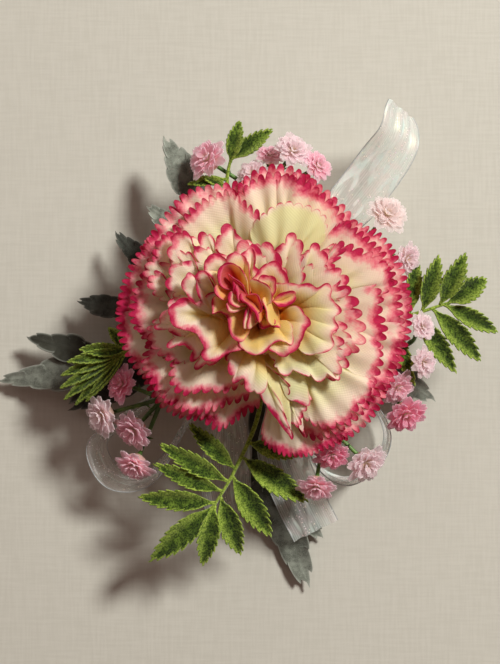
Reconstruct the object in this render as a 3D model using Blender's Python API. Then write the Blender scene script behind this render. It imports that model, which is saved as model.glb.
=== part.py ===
"""A carnation wrist corsage: one large fabric carnation with fern sprays, dusty miller leaves,
filler florets and a sheer ribbon bow, taped together and glued to an elastic wristband.

It lies flower up on its wristband. The origin is on the surface under the middle of the bloom,
with +Z up. Lengths are written in millimetres, and MM turns them into metres.
"""

import math

import bmesh
import bpy
from mathutils import Vector

MM = 0.001
GAP = 0.3  # clearance between pieces that touch
SHEET = 0.6  # thickness of a petal, a leaf and the ribbon

# Wristband: a flat elastic loop, lying collapsed under the flower
BAND_LENGTH = 66.0
BAND_WIDTH = 22.0
BAND_HEIGHT = 13.0
BAND_THICKNESS = 1.5
BAND_ARC_STEPS = 8

# Felt pad on the band, and the taped bundle of stems on the pad
PAD_LENGTH = 30.0
PAD_WIDTH = 23.0
PAD_THICKNESS = 1.7
BUNDLE_RADIUS = 10.0
BUNDLE_HEIGHT = 7.2

# Bloom: petal layers round a ball-shaped core, which the calyx holds
BLOOM_RADIUS = 44.0
CORE_RADIUS = 5.7
CORE_HEIGHT = 27.5
BLOOM_LEAN = (-5.0, 1.0)  # how far the heart stands off the middle of the bloom
LEAN_HEIGHT = 32.0  # height over the core at which the lean is full
GAP_ANGLE = -92.0  # the open notch at the front of the bloom, in degrees

# Ribbon: five eighths of an inch wide
RIBBON_WIDTH = 15.9
COLLAR_WIDTH = 3.2

PAD_BASE = BAND_HEIGHT + GAP
PAD_TOP = PAD_BASE + PAD_THICKNESS
BUNDLE_BASE = PAD_TOP + GAP
BUNDLE_TOP = BUNDLE_BASE + BUNDLE_HEIGHT
LOW_ROOT = BUNDLE_BASE + 4.7  # leaves leave the bundle here
HIGH_ROOT = BUNDLE_TOP - 0.9  # ferns and florets leave it here


def empty_scene():
    """Removes whatever the open file holds."""
    for thing in list(bpy.data.objects):
        bpy.data.objects.remove(thing, do_unlink=True)


def material(name, colour, roughness, metallic=0.0):
    """A Principled material of one colour."""
    made = bpy.data.materials.new(name)
    made.use_nodes = True
    shader = made.node_tree.nodes["Principled BSDF"]
    shader.inputs["Base Color"].default_value = (*colour, 1.0)
    shader.inputs["Roughness"].default_value = roughness
    shader.inputs["Metallic"].default_value = metallic
    made.diffuse_color = (*colour, 1.0)
    return made


def solid(name, points, faces, finish):
    """An object from points in millimetres and faces that close a body."""
    mesh = bpy.data.meshes.new(name)
    mesh.from_pydata([Vector(p) * MM for p in points], [], faces)
    work = bmesh.new()
    work.from_mesh(mesh)
    bmesh.ops.triangulate(work, faces=[f for f in work.faces if len(f.verts) > 4])
    bmesh.ops.recalc_face_normals(work, faces=work.faces)
    work.to_mesh(mesh)
    work.free()
    mesh.materials.append(finish)
    made = bpy.data.objects.new(name, mesh)
    bpy.context.scene.collection.objects.link(made)
    return made


def fuse(name, pieces, solver="EXACT"):
    """Joins overlapping solids into the first of them, by one Boolean union on a collection."""
    body = pieces[0]
    group = bpy.data.collections.new(name + "_repeats")
    bpy.context.scene.collection.children.link(group)
    for piece in pieces[1:]:
        bpy.context.scene.collection.objects.unlink(piece)
        group.objects.link(piece)
    union = body.modifiers.new("Join", "BOOLEAN")
    union.operation = "UNION"
    union.operand_type = "COLLECTION"
    union.collection = group
    union.solver = solver
    with bpy.context.temp_override(object=body, active_object=body):
        bpy.ops.object.modifier_apply(modifier=union.name)
    for piece in pieces[1:]:
        bpy.data.objects.remove(piece, do_unlink=True)
    bpy.data.collections.remove(group)
    body.name = name
    return body


def smooth_route(points, steps):
    """A smooth curve through the points, with so many steps between each two of them."""
    ends = [2 * points[0] - points[1]] + points + [2 * points[-1] - points[-2]]
    route = []
    for k in range(1, len(ends) - 2):
        a, b, c, d = ends[k - 1 : k + 3]
        for step in range(steps):
            t = step / steps
            bend = 2 * b + (c - a) * t + (2 * a - 5 * b + 4 * c - d) * t * t
            route.append(0.5 * (bend + (3 * b - a - 3 * c + d) * t**3))
    route.append(points[-1])
    return route


def frame_across(along):
    """Two unit directions square to a direction and to each other."""
    up = Vector((0, 0, 1)) if abs(along.z) < 0.9 * along.length else Vector((1, 0, 0))
    across = along.cross(up).normalized()
    return across, across.cross(along).normalized()


def tube(name, route, root_radius, tip_radius, sides, finish):
    """A tapered stem along a route."""
    points = []
    last = len(route) - 1
    for k, centre in enumerate(route):
        along = route[min(k + 1, last)] - route[max(k - 1, 0)]
        across, up = frame_across(along)
        radius = root_radius + (tip_radius - root_radius) * k / last
        for side in range(sides):
            turn = math.tau * (side + 0.5) / sides
            points.append(centre + radius * (math.cos(turn) * across + math.sin(turn) * up))
    faces = [list(range(sides)), [last * sides + side for side in range(sides)]]
    for k in range(last):
        for side in range(sides):
            a, b = k * sides + side, k * sides + (side + 1) % sides
            faces.append([a, b, b + sides, a + sides])
    return solid(name, points, faces, finish)


def strip(name, rows, finish):
    """A thin closed sheet from rows of points, cut into triangles alike on both faces."""
    count, width = len(rows), len(rows[0])
    upper, lower = [], []
    for k, row in enumerate(rows):
        for j, point in enumerate(row):
            along = rows[min(k + 1, count - 1)][j] - rows[max(k - 1, 0)][j]
            across = row[min(j + 1, width - 1)] - row[max(j - 1, 0)]
            rise = across.cross(along).normalized() * SHEET / 2
            upper.append(point + rise)
            lower.append(point - rise)
    total = count * width
    faces = []
    for k in range(count - 1):
        for j in range(width - 1):
            a = k * width + j
            b, c, d = a + 1, a + width + 1, a + width
            halves = ([a, b, c], [a, c, d]) if j < width / 2 else ([a, b, d], [b, c, d])
            for half in halves:
                faces.append(half)
                faces.append([total + corner for corner in reversed(half)])
    rim = [j for j in range(width)]
    rim += [k * width + width - 1 for k in range(1, count)]
    rim += [(count - 1) * width + j for j in range(width - 2, -1, -1)]
    rim += [k * width for k in range(count - 2, 0, -1)]
    for a, b in zip(rim, rim[1:] + rim[:1]):
        faces.append([a, b, total + b, total + a])
    return solid(name, upper + lower, faces, finish)


# Petals

# Each layer: share of the bloom's radius that its rim reaches, height of the rim over the
# core, petals, points on the rim, depth of its teeth and height of its own ruffle
PETAL_LAYERS = (
    (1.00, 7.0, 7, 96, 1.9, 0.7),
    (0.98, 10.6, 8, 96, 1.9, 0.9),
    (0.90, 15.0, 7, 96, 1.9, 1.4),
    (0.77, 19.6, 6, 80, 2.2, 1.9),
    (0.61, 24.0, 6, 64, 2.6, 2.2),
    (0.44, 27.6, 5, 56, 2.6, 2.4),
    (0.29, 30.4, 4, 40, 2.6, 1.8),
)
LAYER_RINGS = (0.0, 0.45, 0.8, 1.0)  # where the rings of points lie, from root to rim
ROOT_LOW = 3.0  # elevation of the lowest layer's root on the core, in degrees
ROOT_STEP = 11.0  # and how much higher each next layer starts
NOTCH_DEPTH = 0.36  # how far the notch between two petals reaches in
NOTCH_HALF = 5.0  # half the width of that notch, in degrees
SHARED_WAVE = 2.2  # height of the slow wave that neighbouring layers share
SHARED_LOBES = 5
WAVE_DRIFT = 0.5  # how far that wave turns from one layer to the next
SHOULDER = 0.08  # how much shorter a petal is at its sides than in its middle
EVEN_RUFFLE = 0.65  # share of a layer's ruffle that is the same all round
UNEVEN_LOBES = 3  # how often the rest of it comes and goes
LAYER_ROOT = CORE_RADIUS + GAP


def lean(point):
    """Shifts a point of the bloom sideways by its height, so that the heart is off centre."""
    share = max(0.0, (point.z - CORE_HEIGHT) / LEAN_HEIGHT) ** 2
    return point + share * Vector((*BLOOM_LEAN, 0.0))


def petal_reach(turn, petals):
    """The share of its full length that a petal has at an angle, cut where two petals part."""
    pitch = 360.0 / petals
    off = abs((math.degrees(turn) - GAP_ANGLE + pitch / 2) % pitch - pitch / 2)
    rounded = SHOULDER * (1.0 - 2.0 * off / pitch) ** 3
    return 1.0 - rounded - (NOTCH_DEPTH - SHOULDER) * max(0.0, 1.0 - off / NOTCH_HALF)


def petal_layer(index, finish):
    """One die-cut disc of petals, ruffled, with a toothed rim and a hole for the core."""
    share, rim_rise, petals, rim_count, tooth, ruffle = PETAL_LAYERS[index]
    reach = math.hypot(share * BLOOM_RADIUS, rim_rise)
    root_angle = math.radians(ROOT_LOW + ROOT_STEP * index)
    rim_angle = math.atan2(rim_rise, share * BLOOM_RADIUS)
    counts = (rim_count // 4, rim_count // 2, rim_count, rim_count)
    upper, lower, starts = [], [], []
    for out, count in zip(LAYER_RINGS, counts):
        starts.append(len(upper))
        for k in range(count):
            turn = math.tau * k / count
            length = (reach - LAYER_ROOT) * petal_reach(turn, petals)
            distance = LAYER_ROOT + length * out
            if out == 1.0 and k % 2:
                distance -= tooth
            wave = SHARED_WAVE * math.sin(SHARED_LOBES * turn + WAVE_DRIFT * index)
            swell = math.sin(UNEVEN_LOBES * turn + 2 * index)
            height = ruffle * (EVEN_RUFFLE + (1.0 - EVEN_RUFFLE) * swell)
            wave += height * math.sin((2 * petals + 1) * turn + index)
            angle = root_angle + (rim_angle - root_angle) * out + wave * out**2 / distance
            for face, offset in ((upper, SHEET / 2), (lower, -SHEET / 2)):
                tilt = angle + offset / distance
                flat = distance * math.cos(tilt)
                rise = CORE_HEIGHT + distance * math.sin(tilt)
                face.append(lean(Vector((flat * math.cos(turn), flat * math.sin(turn), rise))))
    faces = ring_faces(starts, counts)
    total = len(upper)
    faces += [[total + corner for corner in reversed(face)] for face in faces]
    for start, count in ((starts[0], counts[0]), (starts[-1], counts[-1])):
        for k in range(count):
            a, b = start + k, start + (k + 1) % count
            faces.append([a, b, total + b, total + a])
    return solid(f"petal_layer_{index + 1}", upper + lower, faces, finish)


def ring_faces(starts, counts):
    """Triangles between rings of points, where a ring has as many or twice as many as the last."""
    faces = []
    for start, count, next_start, next_count in zip(starts, counts, starts[1:], counts[1:]):
        for k in range(count):
            a, b = start + k, start + (k + 1) % count
            if next_count == count:
                c, d = next_start + k, next_start + (k + 1) % count
                faces += [[a, b, c], [b, d, c]]
            else:
                c = next_start + 2 * k
                d, e = c + 1, next_start + (2 * k + 2) % next_count
                faces += [[a, d, c], [a, b, d], [b, e, d]]
    return faces


HEART_LOW = CORE_RADIUS + GAP + 0.4
HEART_TOP = 31.5
HEART_SPREAD = 0.25  # reach of the heart as a share of its height over the core's middle
HEART_TURN = 1.5  # how far each arm of the heart curls, in half turns
HEART_STEPS = 20
HEART_ROWS = 4
HEART_TOOTH = 1.8


def petal_heart(finish):
    """The folded petal that stands in the middle, an S in plan with a toothed top."""
    rows = []
    for k in range(HEART_STEPS + 1):
        share = 2.0 * k / HEART_STEPS - 1.0
        turn = HEART_TURN * math.pi * abs(share)
        plan = share * Vector((math.cos(turn), math.sin(turn), 0.0))
        row = []
        for j in range(HEART_ROWS):
            height = HEART_LOW + (HEART_TOP - HEART_LOW) * j / (HEART_ROWS - 1)
            drop = HEART_TOOTH if j == HEART_ROWS - 1 and k % 2 else 0.0
            place = plan * HEART_SPREAD * height + Vector((0.0, 0.0, CORE_HEIGHT + height - drop))
            row.append(lean(place))
        rows.append(row)
    return strip("petal_heart", rows, finish)


# Core, calyx, bundle, pad and band


def turned(name, profile, sides, finish, stretch=1.0):
    """A turned solid: its profile runs from the axis below to the axis above."""
    points = [Vector((0.0, 0.0, profile[0][1])), Vector((0.0, 0.0, profile[-1][1]))]
    rings = profile[1:-1]
    for radius, height in rings:
        for side in range(sides):
            turn = math.tau * side / sides
            points.append(Vector((stretch * radius * math.cos(turn), radius * math.sin(turn), height)))
    faces = []
    for side in range(sides):
        after = (side + 1) % sides
        last = 2 + (len(rings) - 1) * sides
        faces.append([0, 2 + after, 2 + side])
        faces.append([1, last + side, last + after])
        for ring in range(len(rings) - 1):
            low = 2 + ring * sides
            faces.append([low + side, low + after, low + sides + after, low + sides + side])
    return solid(name, points, faces, finish)


CORE_SIDES = 18
CORE_RINGS = 6
CALYX_FOOT = 4.4
CALYX_RIM = 7.3
CALYX_LIP = 0.5  # how far the rim stands out over the cup's shoulder
CALYX_SHOULDER = 1.6  # height of the shoulder over the bundle
CUP_RINGS = 3
CUP_EDGE = -12.0  # elevation of the calyx's edge seen from the core's centre, in degrees


def petal_core(finish):
    """The ball that the petal layers are threaded on."""
    profile = []
    for k in range(CORE_RINGS + 1):
        turn = math.pi * (k / CORE_RINGS - 0.5)
        profile.append((CORE_RADIUS * math.cos(turn), CORE_HEIGHT + CORE_RADIUS * math.sin(turn)))
    return turned("petal_core", profile, CORE_SIDES, finish)


def calyx(finish):
    """The green cup that holds the core, standing on the pad inside the bundle."""
    cup = CORE_RADIUS + GAP
    edge = math.radians(CUP_EDGE)
    rim_height = CORE_HEIGHT + cup * math.sin(edge)
    profile = [(0.0, BUNDLE_BASE), (CALYX_FOOT, BUNDLE_BASE), (CALYX_FOOT, BUNDLE_TOP)]
    profile += [(CALYX_RIM - CALYX_LIP, BUNDLE_TOP + CALYX_SHOULDER), (CALYX_RIM, rim_height)]
    for k in range(CUP_RINGS):
        turn = edge - (math.pi / 2 + edge) * k / CUP_RINGS
        profile.append((cup * math.cos(turn), CORE_HEIGHT + cup * math.sin(turn)))
    profile.append((0.0, CORE_HEIGHT - cup))
    return turned("calyx", profile, CORE_SIDES, finish)


BUNDLE_SIDES = 18
BUNDLE_SLOPE = (1.2, 0.6)  # how far its upper edge is drawn in and down


def stem_bundle(finish):
    """The stems of all the sprays, wrapped together in floral tape round the calyx."""
    inner = CALYX_FOOT + GAP
    across, down = BUNDLE_SLOPE
    profile = [(inner, BUNDLE_BASE), (BUNDLE_RADIUS, BUNDLE_BASE)]
    profile += [(BUNDLE_RADIUS, BUNDLE_TOP - down), (BUNDLE_RADIUS - across, BUNDLE_TOP)]
    profile += [(inner, BUNDLE_TOP)]
    points, faces = [], []
    for radius, height in profile:
        for side in range(BUNDLE_SIDES):
            turn = math.tau * side / BUNDLE_SIDES
            points.append(Vector((radius * math.cos(turn), radius * math.sin(turn), height)))
    for ring in range(len(profile)):
        low, high = ring * BUNDLE_SIDES, (ring + 1) % len(profile) * BUNDLE_SIDES
        for side in range(BUNDLE_SIDES):
            after = (side + 1) % BUNDLE_SIDES
            faces.append([low + side, low + after, high + after, high + side])
    return solid("stem_bundle", points, faces, finish)


PAD_SIDES = 28


def backing_pad(finish):
    """The oval felt pad between the band and the flowers."""
    radius = PAD_WIDTH / 2
    profile = [(0.0, PAD_BASE), (radius, PAD_BASE), (radius, PAD_TOP), (0.0, PAD_TOP)]
    return turned("backing_pad", profile, PAD_SIDES, finish, PAD_LENGTH / PAD_WIDTH)


def wristband(finish):
    """The elastic loop, flat where it lies on the surface and under the pad."""
    outline = []
    straight = (BAND_LENGTH - BAND_HEIGHT) / 2
    for side in (1, -1):
        for k in range(BAND_ARC_STEPS + 1):
            turn = side * math.pi / 2 * (2.0 * k / BAND_ARC_STEPS - 1.0)
            outline.append((side, straight, math.cos(turn), math.sin(turn)))
    points, faces = [], []
    count = len(outline)
    for edge in (-BAND_WIDTH / 2, BAND_WIDTH / 2):
        for radius in (BAND_HEIGHT / 2, BAND_HEIGHT / 2 - BAND_THICKNESS):
            for side, shift, cosine, sine in outline:
                x = side * (shift + radius * cosine)
                points.append(Vector((x, edge, BAND_HEIGHT / 2 + radius * sine)))
    for k in range(count):
        after = (k + 1) % count
        faces.append([k, after, 2 * count + after, 2 * count + k])
        faces.append([count + k, 3 * count + k, 3 * count + after, count + after])
        faces.append([k, count + k, count + after, after])
        faces.append([2 * count + k, 2 * count + after, 3 * count + after, 3 * count + k])
    return solid("wristband", points, faces, finish)


# Leaves


def at_bundle(angle, height):
    """A point beside the bundle, where a stem enters the tape."""
    turn = math.radians(angle)
    distance = BUNDLE_RADIUS + GAP
    return Vector((distance * math.cos(turn), distance * math.sin(turn), height))


def bezier(points, share):
    """A point on the curve that starts and ends at the outer points and bends to the inner."""
    while len(points) > 1:
        points = [a.lerp(b, share) for a, b in zip(points, points[1:])]
    return points[0]


STALK_HALF = 0.8
TIP_HALF = 0.35
# A blade's half width follows a sine, raised to a power, that starts a little way along
BLADE_START = 0.08
BLADE_SKEW = 0.8  # below 1, the blade is widest nearer to its root
BLADE_FULLNESS = 0.85  # below 1, its sides are fuller than the sine
SLOPE_STEP = 0.02  # share of its length over which the direction of its rib is measured


def blade(name, route, half_width, lobes, finish, style, tilt=0.0):
    """A leaf along a curve, with lobes or teeth cut into both edges.

    The style gives the outline of one lobe, as shares of its length and of the leaf's width,
    the share of the leaf's length that is stalk, how far the lobes' points sweep forward, and
    how far the leaf's edges rise.
    """
    lobe_outline, neck, sweep, rise = style
    stations = [(0.0, 0.0)]
    if neck > 0.1:
        stations.append((neck * 0.6, 0.0))
    for lobe in range(lobes):
        for share, full in lobe_outline:
            stations.append((neck + (1.0 - neck) * (lobe + share) / lobes, full))
    stations.append((1.0, 0.0))
    rows = []
    length = (route[-1] - route[0]).length
    for out, full in stations:
        centre = bezier(list(route), out)
        ahead = bezier(list(route), min(out + SLOPE_STEP, 1.0))
        along = (ahead - bezier(list(route), max(out - SLOPE_STEP, 0.0))).normalized()
        across = along.cross(Vector((0, 0, 1))).normalized()
        up = across.cross(along)
        turn = math.radians(tilt)
        across, up = (
            across * math.cos(turn) + up * math.sin(turn),
            up * math.cos(turn) - across * math.sin(turn),
        )
        place = (BLADE_START + (1.0 - BLADE_START) * out) ** BLADE_SKEW
        bulge = abs(math.sin(math.pi * place)) ** BLADE_FULLNESS
        half = max(STALK_HALF if out < 1.0 else TIP_HALF, half_width * full * bulge)
        swept = along * (sweep * length / lobes if full == 1.0 else 0.0)
        edge = centre + swept + up * rise * half
        rows.append([edge - across * half, centre, edge + across * half])
    return strip(name, rows, finish)


DUSTY_STYLE = (((0.0, 0.68), (0.6, 1.0)), 0.30, 0.10, 0.12)
DUSTY_LOBES = 5
# Each dusty miller leaf: where it leaves the bundle, in degrees, a point it bends towards, its
# tip, half its width and its tilt
DUSTY_LEAVES = {
    "far_left": (192, (-46, -19, 14.5), (-84.5, -21.9, 3.5), 11.0, 0),
    "upper_left": (121, (-23, 38, 19), (-30.2, 54.0, 12), 6.5, -20),
    "upper_left_low": (139, (-24, 25, 19), (-36.5, 34.5, 14), 4.0, 0),
    "left": (157, (-34, 13, 18), (-46.5, 25.0, 10), 6.0, 10),
    "left_dark": (177, (-42, 0, 21), (-58.2, 2.5, 8), 4.5, 0),
    "bottom": (-97, (-2, -52, 0), (14.8, -87.9, 2.5), 9.0, 0),
    "right": (-25, (34, -13, 17), (54.7, -27.7, 6), 6.0, 0),
    "lower_left": (205, (-40, -18, 10), (-61.0, -30.5, 4), 5.5, 0),
}


def dusty_leaf(place, finish):
    """One lobed dusty miller leaf with its stalk."""
    angle, bend, tip, half_width, tilt = DUSTY_LEAVES[place]
    route = [at_bundle(angle, LOW_ROOT), Vector(bend), Vector(tip)]
    return blade(f"dusty_leaf_{place}", route, half_width, DUSTY_LOBES, finish, DUSTY_STYLE, tilt)


FERN_STYLE = (((0.0, 0.70), (0.6, 1.0)), 0.08, 0.12, 0.22)
FERN_TEETH = 4
RACHIS_ROOT = 0.95
RACHIS_TIP = 0.6
# Each fern spray: where it leaves the bundle, the points of its rachis, and for each leaflet
# its root's place along the rachis, its tip and half its width
FERNS = {
    "bottom": (
        -91,
        ((-1, -31, 22), (-8.4, -48.9, 24), (-15.2, -60.5, 24)),
        (
            (0.50, (11.5, -44.5, 22), 3.1),
            (0.58, (13.5, -58.8, 20), 4.1),
            (0.66, (-22.0, -35.0, 25), 3.0),
            (0.71, (2.4, -69.5, 20), 4.1),
            (0.76, (-31.0, -41.0, 26), 3.2),
            (0.85, (-32.6, -47.2, 25.5), 3.0),
            (0.89, (-6.9, -75.3, 20), 3.8),
            (0.955, (-37.7, -57.2, 24), 3.4),
            (0.97, (-18.4, -78.3, 22), 3.5),
            (0.985, (-34.2, -76.8, 22), 4.1),
        ),
    ),
    "right": (
        -3,
        ((28, -1.5, 23), (43, -1.5, 25), (57.6, 2.8, 26)),
        (
            (0.56, (46.8, -22.0, 24), 2.8),
            (0.72, (47.8, 16.5, 23), 2.8),
            (0.76, (60.0, -18.4, 21), 3.5),
            (0.81, (54.0, 16.6, 27), 3.4),
            (0.88, (67.7, -14.9, 21), 3.7),
            (0.93, (62.0, 17.3, 28), 3.6),
            (0.96, (72.7, -6.1, 22), 3.2),
            (0.985, (68.7, 10.0, 26), 4.0),
        ),
    ),
    "left": (
        199,
        ((-30, -9, 23), (-42.6, -14.3, 24), (-50.0, -18.0, 23)),
        (
            (0.60, (-47.3, -4.6, 24), 2.6),
            (0.72, (-54.6, -8.0, 23.5), 3.1),
            (0.86, (-62.5, -17.4, 20), 3.4),
            (0.93, (-63.6, -24.6, 18), 3.1),
            (0.98, (-60.3, -29.5, 17), 3.0),
        ),
    ),
    "top": (
        106,
        ((-9, 28, 22.5), (-10.8, 40, 24.5), (-9.6, 47.4, 25.5)),
        (
            (0.70, (-22.5, 40.4, 25), 2.8),
            (0.93, (-7.0, 58.2, 27), 2.8),
            (0.97, (2.7, 55.6, 27), 3.0),
        ),
    ),
}
RACHIS_STEPS = 3
RACHIS_SIDES = 5
LEAFLET_ARCH = 2.0


def fern(place, finish):
    """One fern spray: toothed leaflets on a thin rachis."""
    angle, bends, leaflets = FERNS[place]
    route = [at_bundle(angle, HIGH_ROOT)] + [Vector(p) for p in bends]
    route = smooth_route(route, RACHIS_STEPS)
    pieces = [tube("rachis", route, RACHIS_ROOT, RACHIS_TIP, RACHIS_SIDES, finish)]
    for share, tip, half_width in leaflets:
        place_on = share * (len(route) - 1)
        step = min(int(place_on), len(route) - 2)
        root = route[step].lerp(route[step + 1], place_on - step)
        tip = Vector(tip)
        bend = root.lerp(tip, 0.5) + Vector((0, 0, LEAFLET_ARCH))
        pieces.append(blade("leaflet", [root, bend, tip], half_width, FERN_TEETH, finish, FERN_STYLE))
    return fuse(f"fern_{place}", pieces)


# Florets

FLORET_POINTS = 5
FLORET_RADIUS = 5.2
FLORET_DEPTH = 7.0
FLORET_THROAT = 0.8  # height of its inner middle, as a share of its depth
FLORET_MIDDLE = 0.6  # height of the point by which it is placed, as a share of its depth
FLORET_RISE = 0.9  # how far a floret turns up from the way its branch points
# Rings of the floret: radius and height at the points of its petals, and between them
FLORET_RINGS = (
    (0.14, 0.0, 0.14, 0.0),
    (0.34, 0.34, 0.28, 0.34),
    (1.00, 0.82, 0.78, 0.74),
    (0.62, 0.80, 0.68, 1.00),
    (0.36, 1.04, 0.20, 0.80),
)
STEM_ROOT = 0.8
STEM_TIP = 0.55
STEM_SIDES = 4
STEM_NECK = 1.2  # straight end of a branch, in line with its floret
BRANCH_SAG = 0.6
BRANCH_REACH = 0.35  # where a branch sags, from the fork towards the floret
# Each spray of florets: where it leaves the bundle, its bends, the last of which is its fork,
# and for each floret its middle, its size and, where others are in the way, its branch's knee
FLORET_SPRAYS = {
    "top": (
        86,
        ((0.5, 27, 20.5), (0.5, 36, 22.5)),
        (
            ((-17.2, 47.2, 27.5), 1.15),
            ((-3.2, 43.0, 25.5), 0.85),
            ((2.6, 49.0, 22), 0.80),
            ((9.6, 49.6, 28), 1.10),
            ((17.4, 45.0, 26), 0.90),
        ),
    ),
    "upper_right": (
        40,
        ((22, 17, 20.5), (31, 21, 22.5)),
        (
            ((38.6, 30.2, 28), 1.15),
            ((44.6, 16.0, 27.5), 0.90),
        ),
    ),
    "right": (
        -14,
        ((25, -9, 19.5), (36, -14, 21)),
        (
            ((49.0, -4.5, 30.5), 0.8, (46.5, -9.5, 20.5)),
            ((49.8, -15.5, 27), 0.85),
            ((42.0, -23.6, 25), 1.0),
            ((44.4, -32.2, 26), 1.15),
        ),
    ),
    "lower_right": (
        -56,
        ((15, -26, 20), (20, -35, 21.5)),
        (
            ((32.4, -47.0, 26), 1.15),
            ((21.6, -44.6, 26), 0.95),
            ((16.6, -54.5, 25), 1.0),
        ),
    ),
    "lower_left": (
        222,
        ((-22, -20, 20.5), (-31, -27, 22)),
        (
            ((-43.8, -22.3, 24), 1.0),
            ((-50.4, -32.4, 23), 1.15),
            ((-40.2, -37.0, 24), 1.15),
            ((-40.0, -48.4, 21), 1.1),
        ),
    ),
}


def floret_mesh(finish):
    """A small crinkled double floret that opens along +Z from its foot at the origin."""
    count = 2 * FLORET_POINTS
    points = [Vector((0, 0, 0)), Vector((0, 0, FLORET_DEPTH * FLORET_THROAT))]
    for radius, height, dip_radius, dip_height in FLORET_RINGS:
        for k in range(count):
            turn = math.tau * k / count
            wide, high = (dip_radius, dip_height) if k % 2 else (radius, height)
            wide *= FLORET_RADIUS
            points.append(Vector((wide * math.cos(turn), wide * math.sin(turn), high * FLORET_DEPTH)))
    faces = []
    last = 2 + (len(FLORET_RINGS) - 1) * count
    for k in range(count):
        after = (k + 1) % count
        faces.append([0, 2 + after, 2 + k])
        faces.append([1, last + k, last + after])
        for ring in range(len(FLORET_RINGS) - 1):
            low = 2 + ring * count
            corners = [low + k, low + after, low + count + after, low + count + k]
            faces.append([corners[0], corners[1], corners[2]])
            faces.append([corners[0], corners[2], corners[3]])
    shape = solid("floret_shape", points, faces, finish)
    mesh = shape.data
    bpy.data.objects.remove(shape, do_unlink=True)
    return mesh


def floret_spray(place, stem_finish, mesh):
    """A branching green stem, and a floret on the end of each branch."""
    angle, bends, florets = FLORET_SPRAYS[place]
    route = smooth_route([at_bundle(angle, HIGH_ROOT)] + [Vector(p) for p in bends], 2)
    pieces = [tube("stem", route, STEM_ROOT, STEM_TIP, STEM_SIDES, stem_finish)]
    fork = route[-1]
    for number, (middle, size, *knee) in enumerate(florets, 1):
        middle = Vector(middle)
        facing = ((middle - fork).normalized() + Vector((0, 0, FLORET_RISE))).normalized()
        foot = middle - facing * FLORET_DEPTH * size * FLORET_MIDDLE
        end = foot - facing * GAP
        sagged = fork.lerp(end, BRANCH_REACH) - Vector((0, 0, BRANCH_SAG))
        branch = [fork, Vector(*knee) if knee else sagged, end - facing * STEM_NECK, end]
        pieces.append(tube("branch", branch, STEM_TIP, STEM_TIP, STEM_SIDES, stem_finish))
        floret = bpy.data.objects.new(f"floret_{place}_{number}", mesh)
        floret.location = foot * MM
        floret.rotation_euler = facing.to_track_quat("Z", "Y").to_euler()
        floret.scale = (size, size, size)
        bpy.context.scene.collection.objects.link(floret)
    return fuse(f"floret_stem_{place}", pieces)


# Ribbon

COLLAR_SIDES = 24
COLLAR_BASE = BUNDLE_BASE + 0.7
COLLAR_THICKNESS = 1.0
COLLAR_MIDDLE = COLLAR_BASE + COLLAR_WIDTH / 2
RIBBON_STEPS = 3
# Each run of ribbon: points of its middle line, each with the direction across the ribbon and
# the share of its full width there
RIBBON_RUNS = {
    "top_tail": (
        ((7.1, 8.2, COLLAR_MIDDLE), (0, 0, 1), 0.18),
        ((18, 21, 16), (-0.5, 0.45, 0.7), 0.6),
        ((29, 35, 16), (-0.75, 0.62, 0.15), 1.0),
        ((37.0, 45.5, 19), (-0.75, 0.6, 0.1), 1.0),
        ((42.5, 54.5, 22), (-0.8, 0.25, 0.45), 1.0),
        ((43.5, 63.5, 20), (-0.5, -0.3, 0.75), 1.0),
    ),
    "right_loop": (
        ((8.2, -7.2, COLLAR_MIDDLE), (0, 0, 1), 0.18),
        ((24, -19, 14), (0, 0, 1), 0.7),
        ((35.5, -29, 12), (0.1, 0.1, 1), 0.95),
        ((40.5, -40, 11.5), (0.2, 0, 1), 1.0),
        ((35.5, -50.5, 11), (0.15, -0.15, 1), 1.0),
        ((25, -54.0, 10.5), (0, -0.2, 1), 0.95),
        ((15, -44, 12), (-0.1, 0, 1), 0.7),
        ((6.0, -9.1, COLLAR_MIDDLE), (0, 0, 1), 0.18),
    ),
    "front_tail": (
        ((2.6, -10.6, COLLAR_MIDDLE), (0, 0, 1), 0.18),
        ((5.5, -28, 18), (0.9, 0.2, 0.1), 0.5),
        ((6.5, -45, 14), (0.95, 0.2, 0.15), 1.0),
        ((12, -59, 12), (0.9, 0.4, 0), 1.0),
        ((17.5, -70.2, 8.5), (0.88, 0.46, 0), 1.0),
    ),
    "left_tail": (
        ((-5.0, -9.6, COLLAR_MIDDLE), (0, 0, 1), 0.18),
        ((-10.5, -28, 17.5), (0.9, 0, 0.1), 0.5),
        ((-11.0, -44, 12.5), (1, 0, 0.1), 1.0),
        ((-11.5, -56, 9.5), (1, 0, 0), 1.0),
        ((-9.8, -65.3, 6.5), (1, 0.05, 0), 1.0),
    ),
    "left_loop": (
        ((-8.9, -6.4, COLLAR_MIDDLE), (0, 0, 1), 0.18),
        ((-26, -21, 13), (0, 0, 1), 0.6),
        ((-42, -33, 10), (-0.1, 0.2, 1), 0.8),
        ((-53, -42, 8.8), (-0.4, 0, 1), 0.9),
        ((-48, -53, 8.6), (-0.2, -0.4, 1), 0.9),
        ((-35, -52, 9), (0.1, -0.3, 1), 0.8),
        ((-22, -32, 12), (0, 0, 1), 0.6),
        ((-6.4, -8.9, COLLAR_MIDDLE), (0, 0, 1), 0.18),
    ),
}


def ribbon_run(points, finish):
    """One loop or tail of the ribbon."""
    route = smooth_route([Vector(p) for p, _, _ in points], RIBBON_STEPS)
    sides = smooth_route([Vector(side).normalized() for _, side, _ in points], RIBBON_STEPS)
    shares = smooth_route([Vector((share, 0, 0)) for _, _, share in points], RIBBON_STEPS)
    rows = []
    for centre, across, share in zip(route, sides, shares):
        half = across.normalized() * RIBBON_WIDTH / 2 * min(1.0, share.x)
        rows.append([centre - half, centre, centre + half])
    return strip("run", rows, finish)


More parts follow.
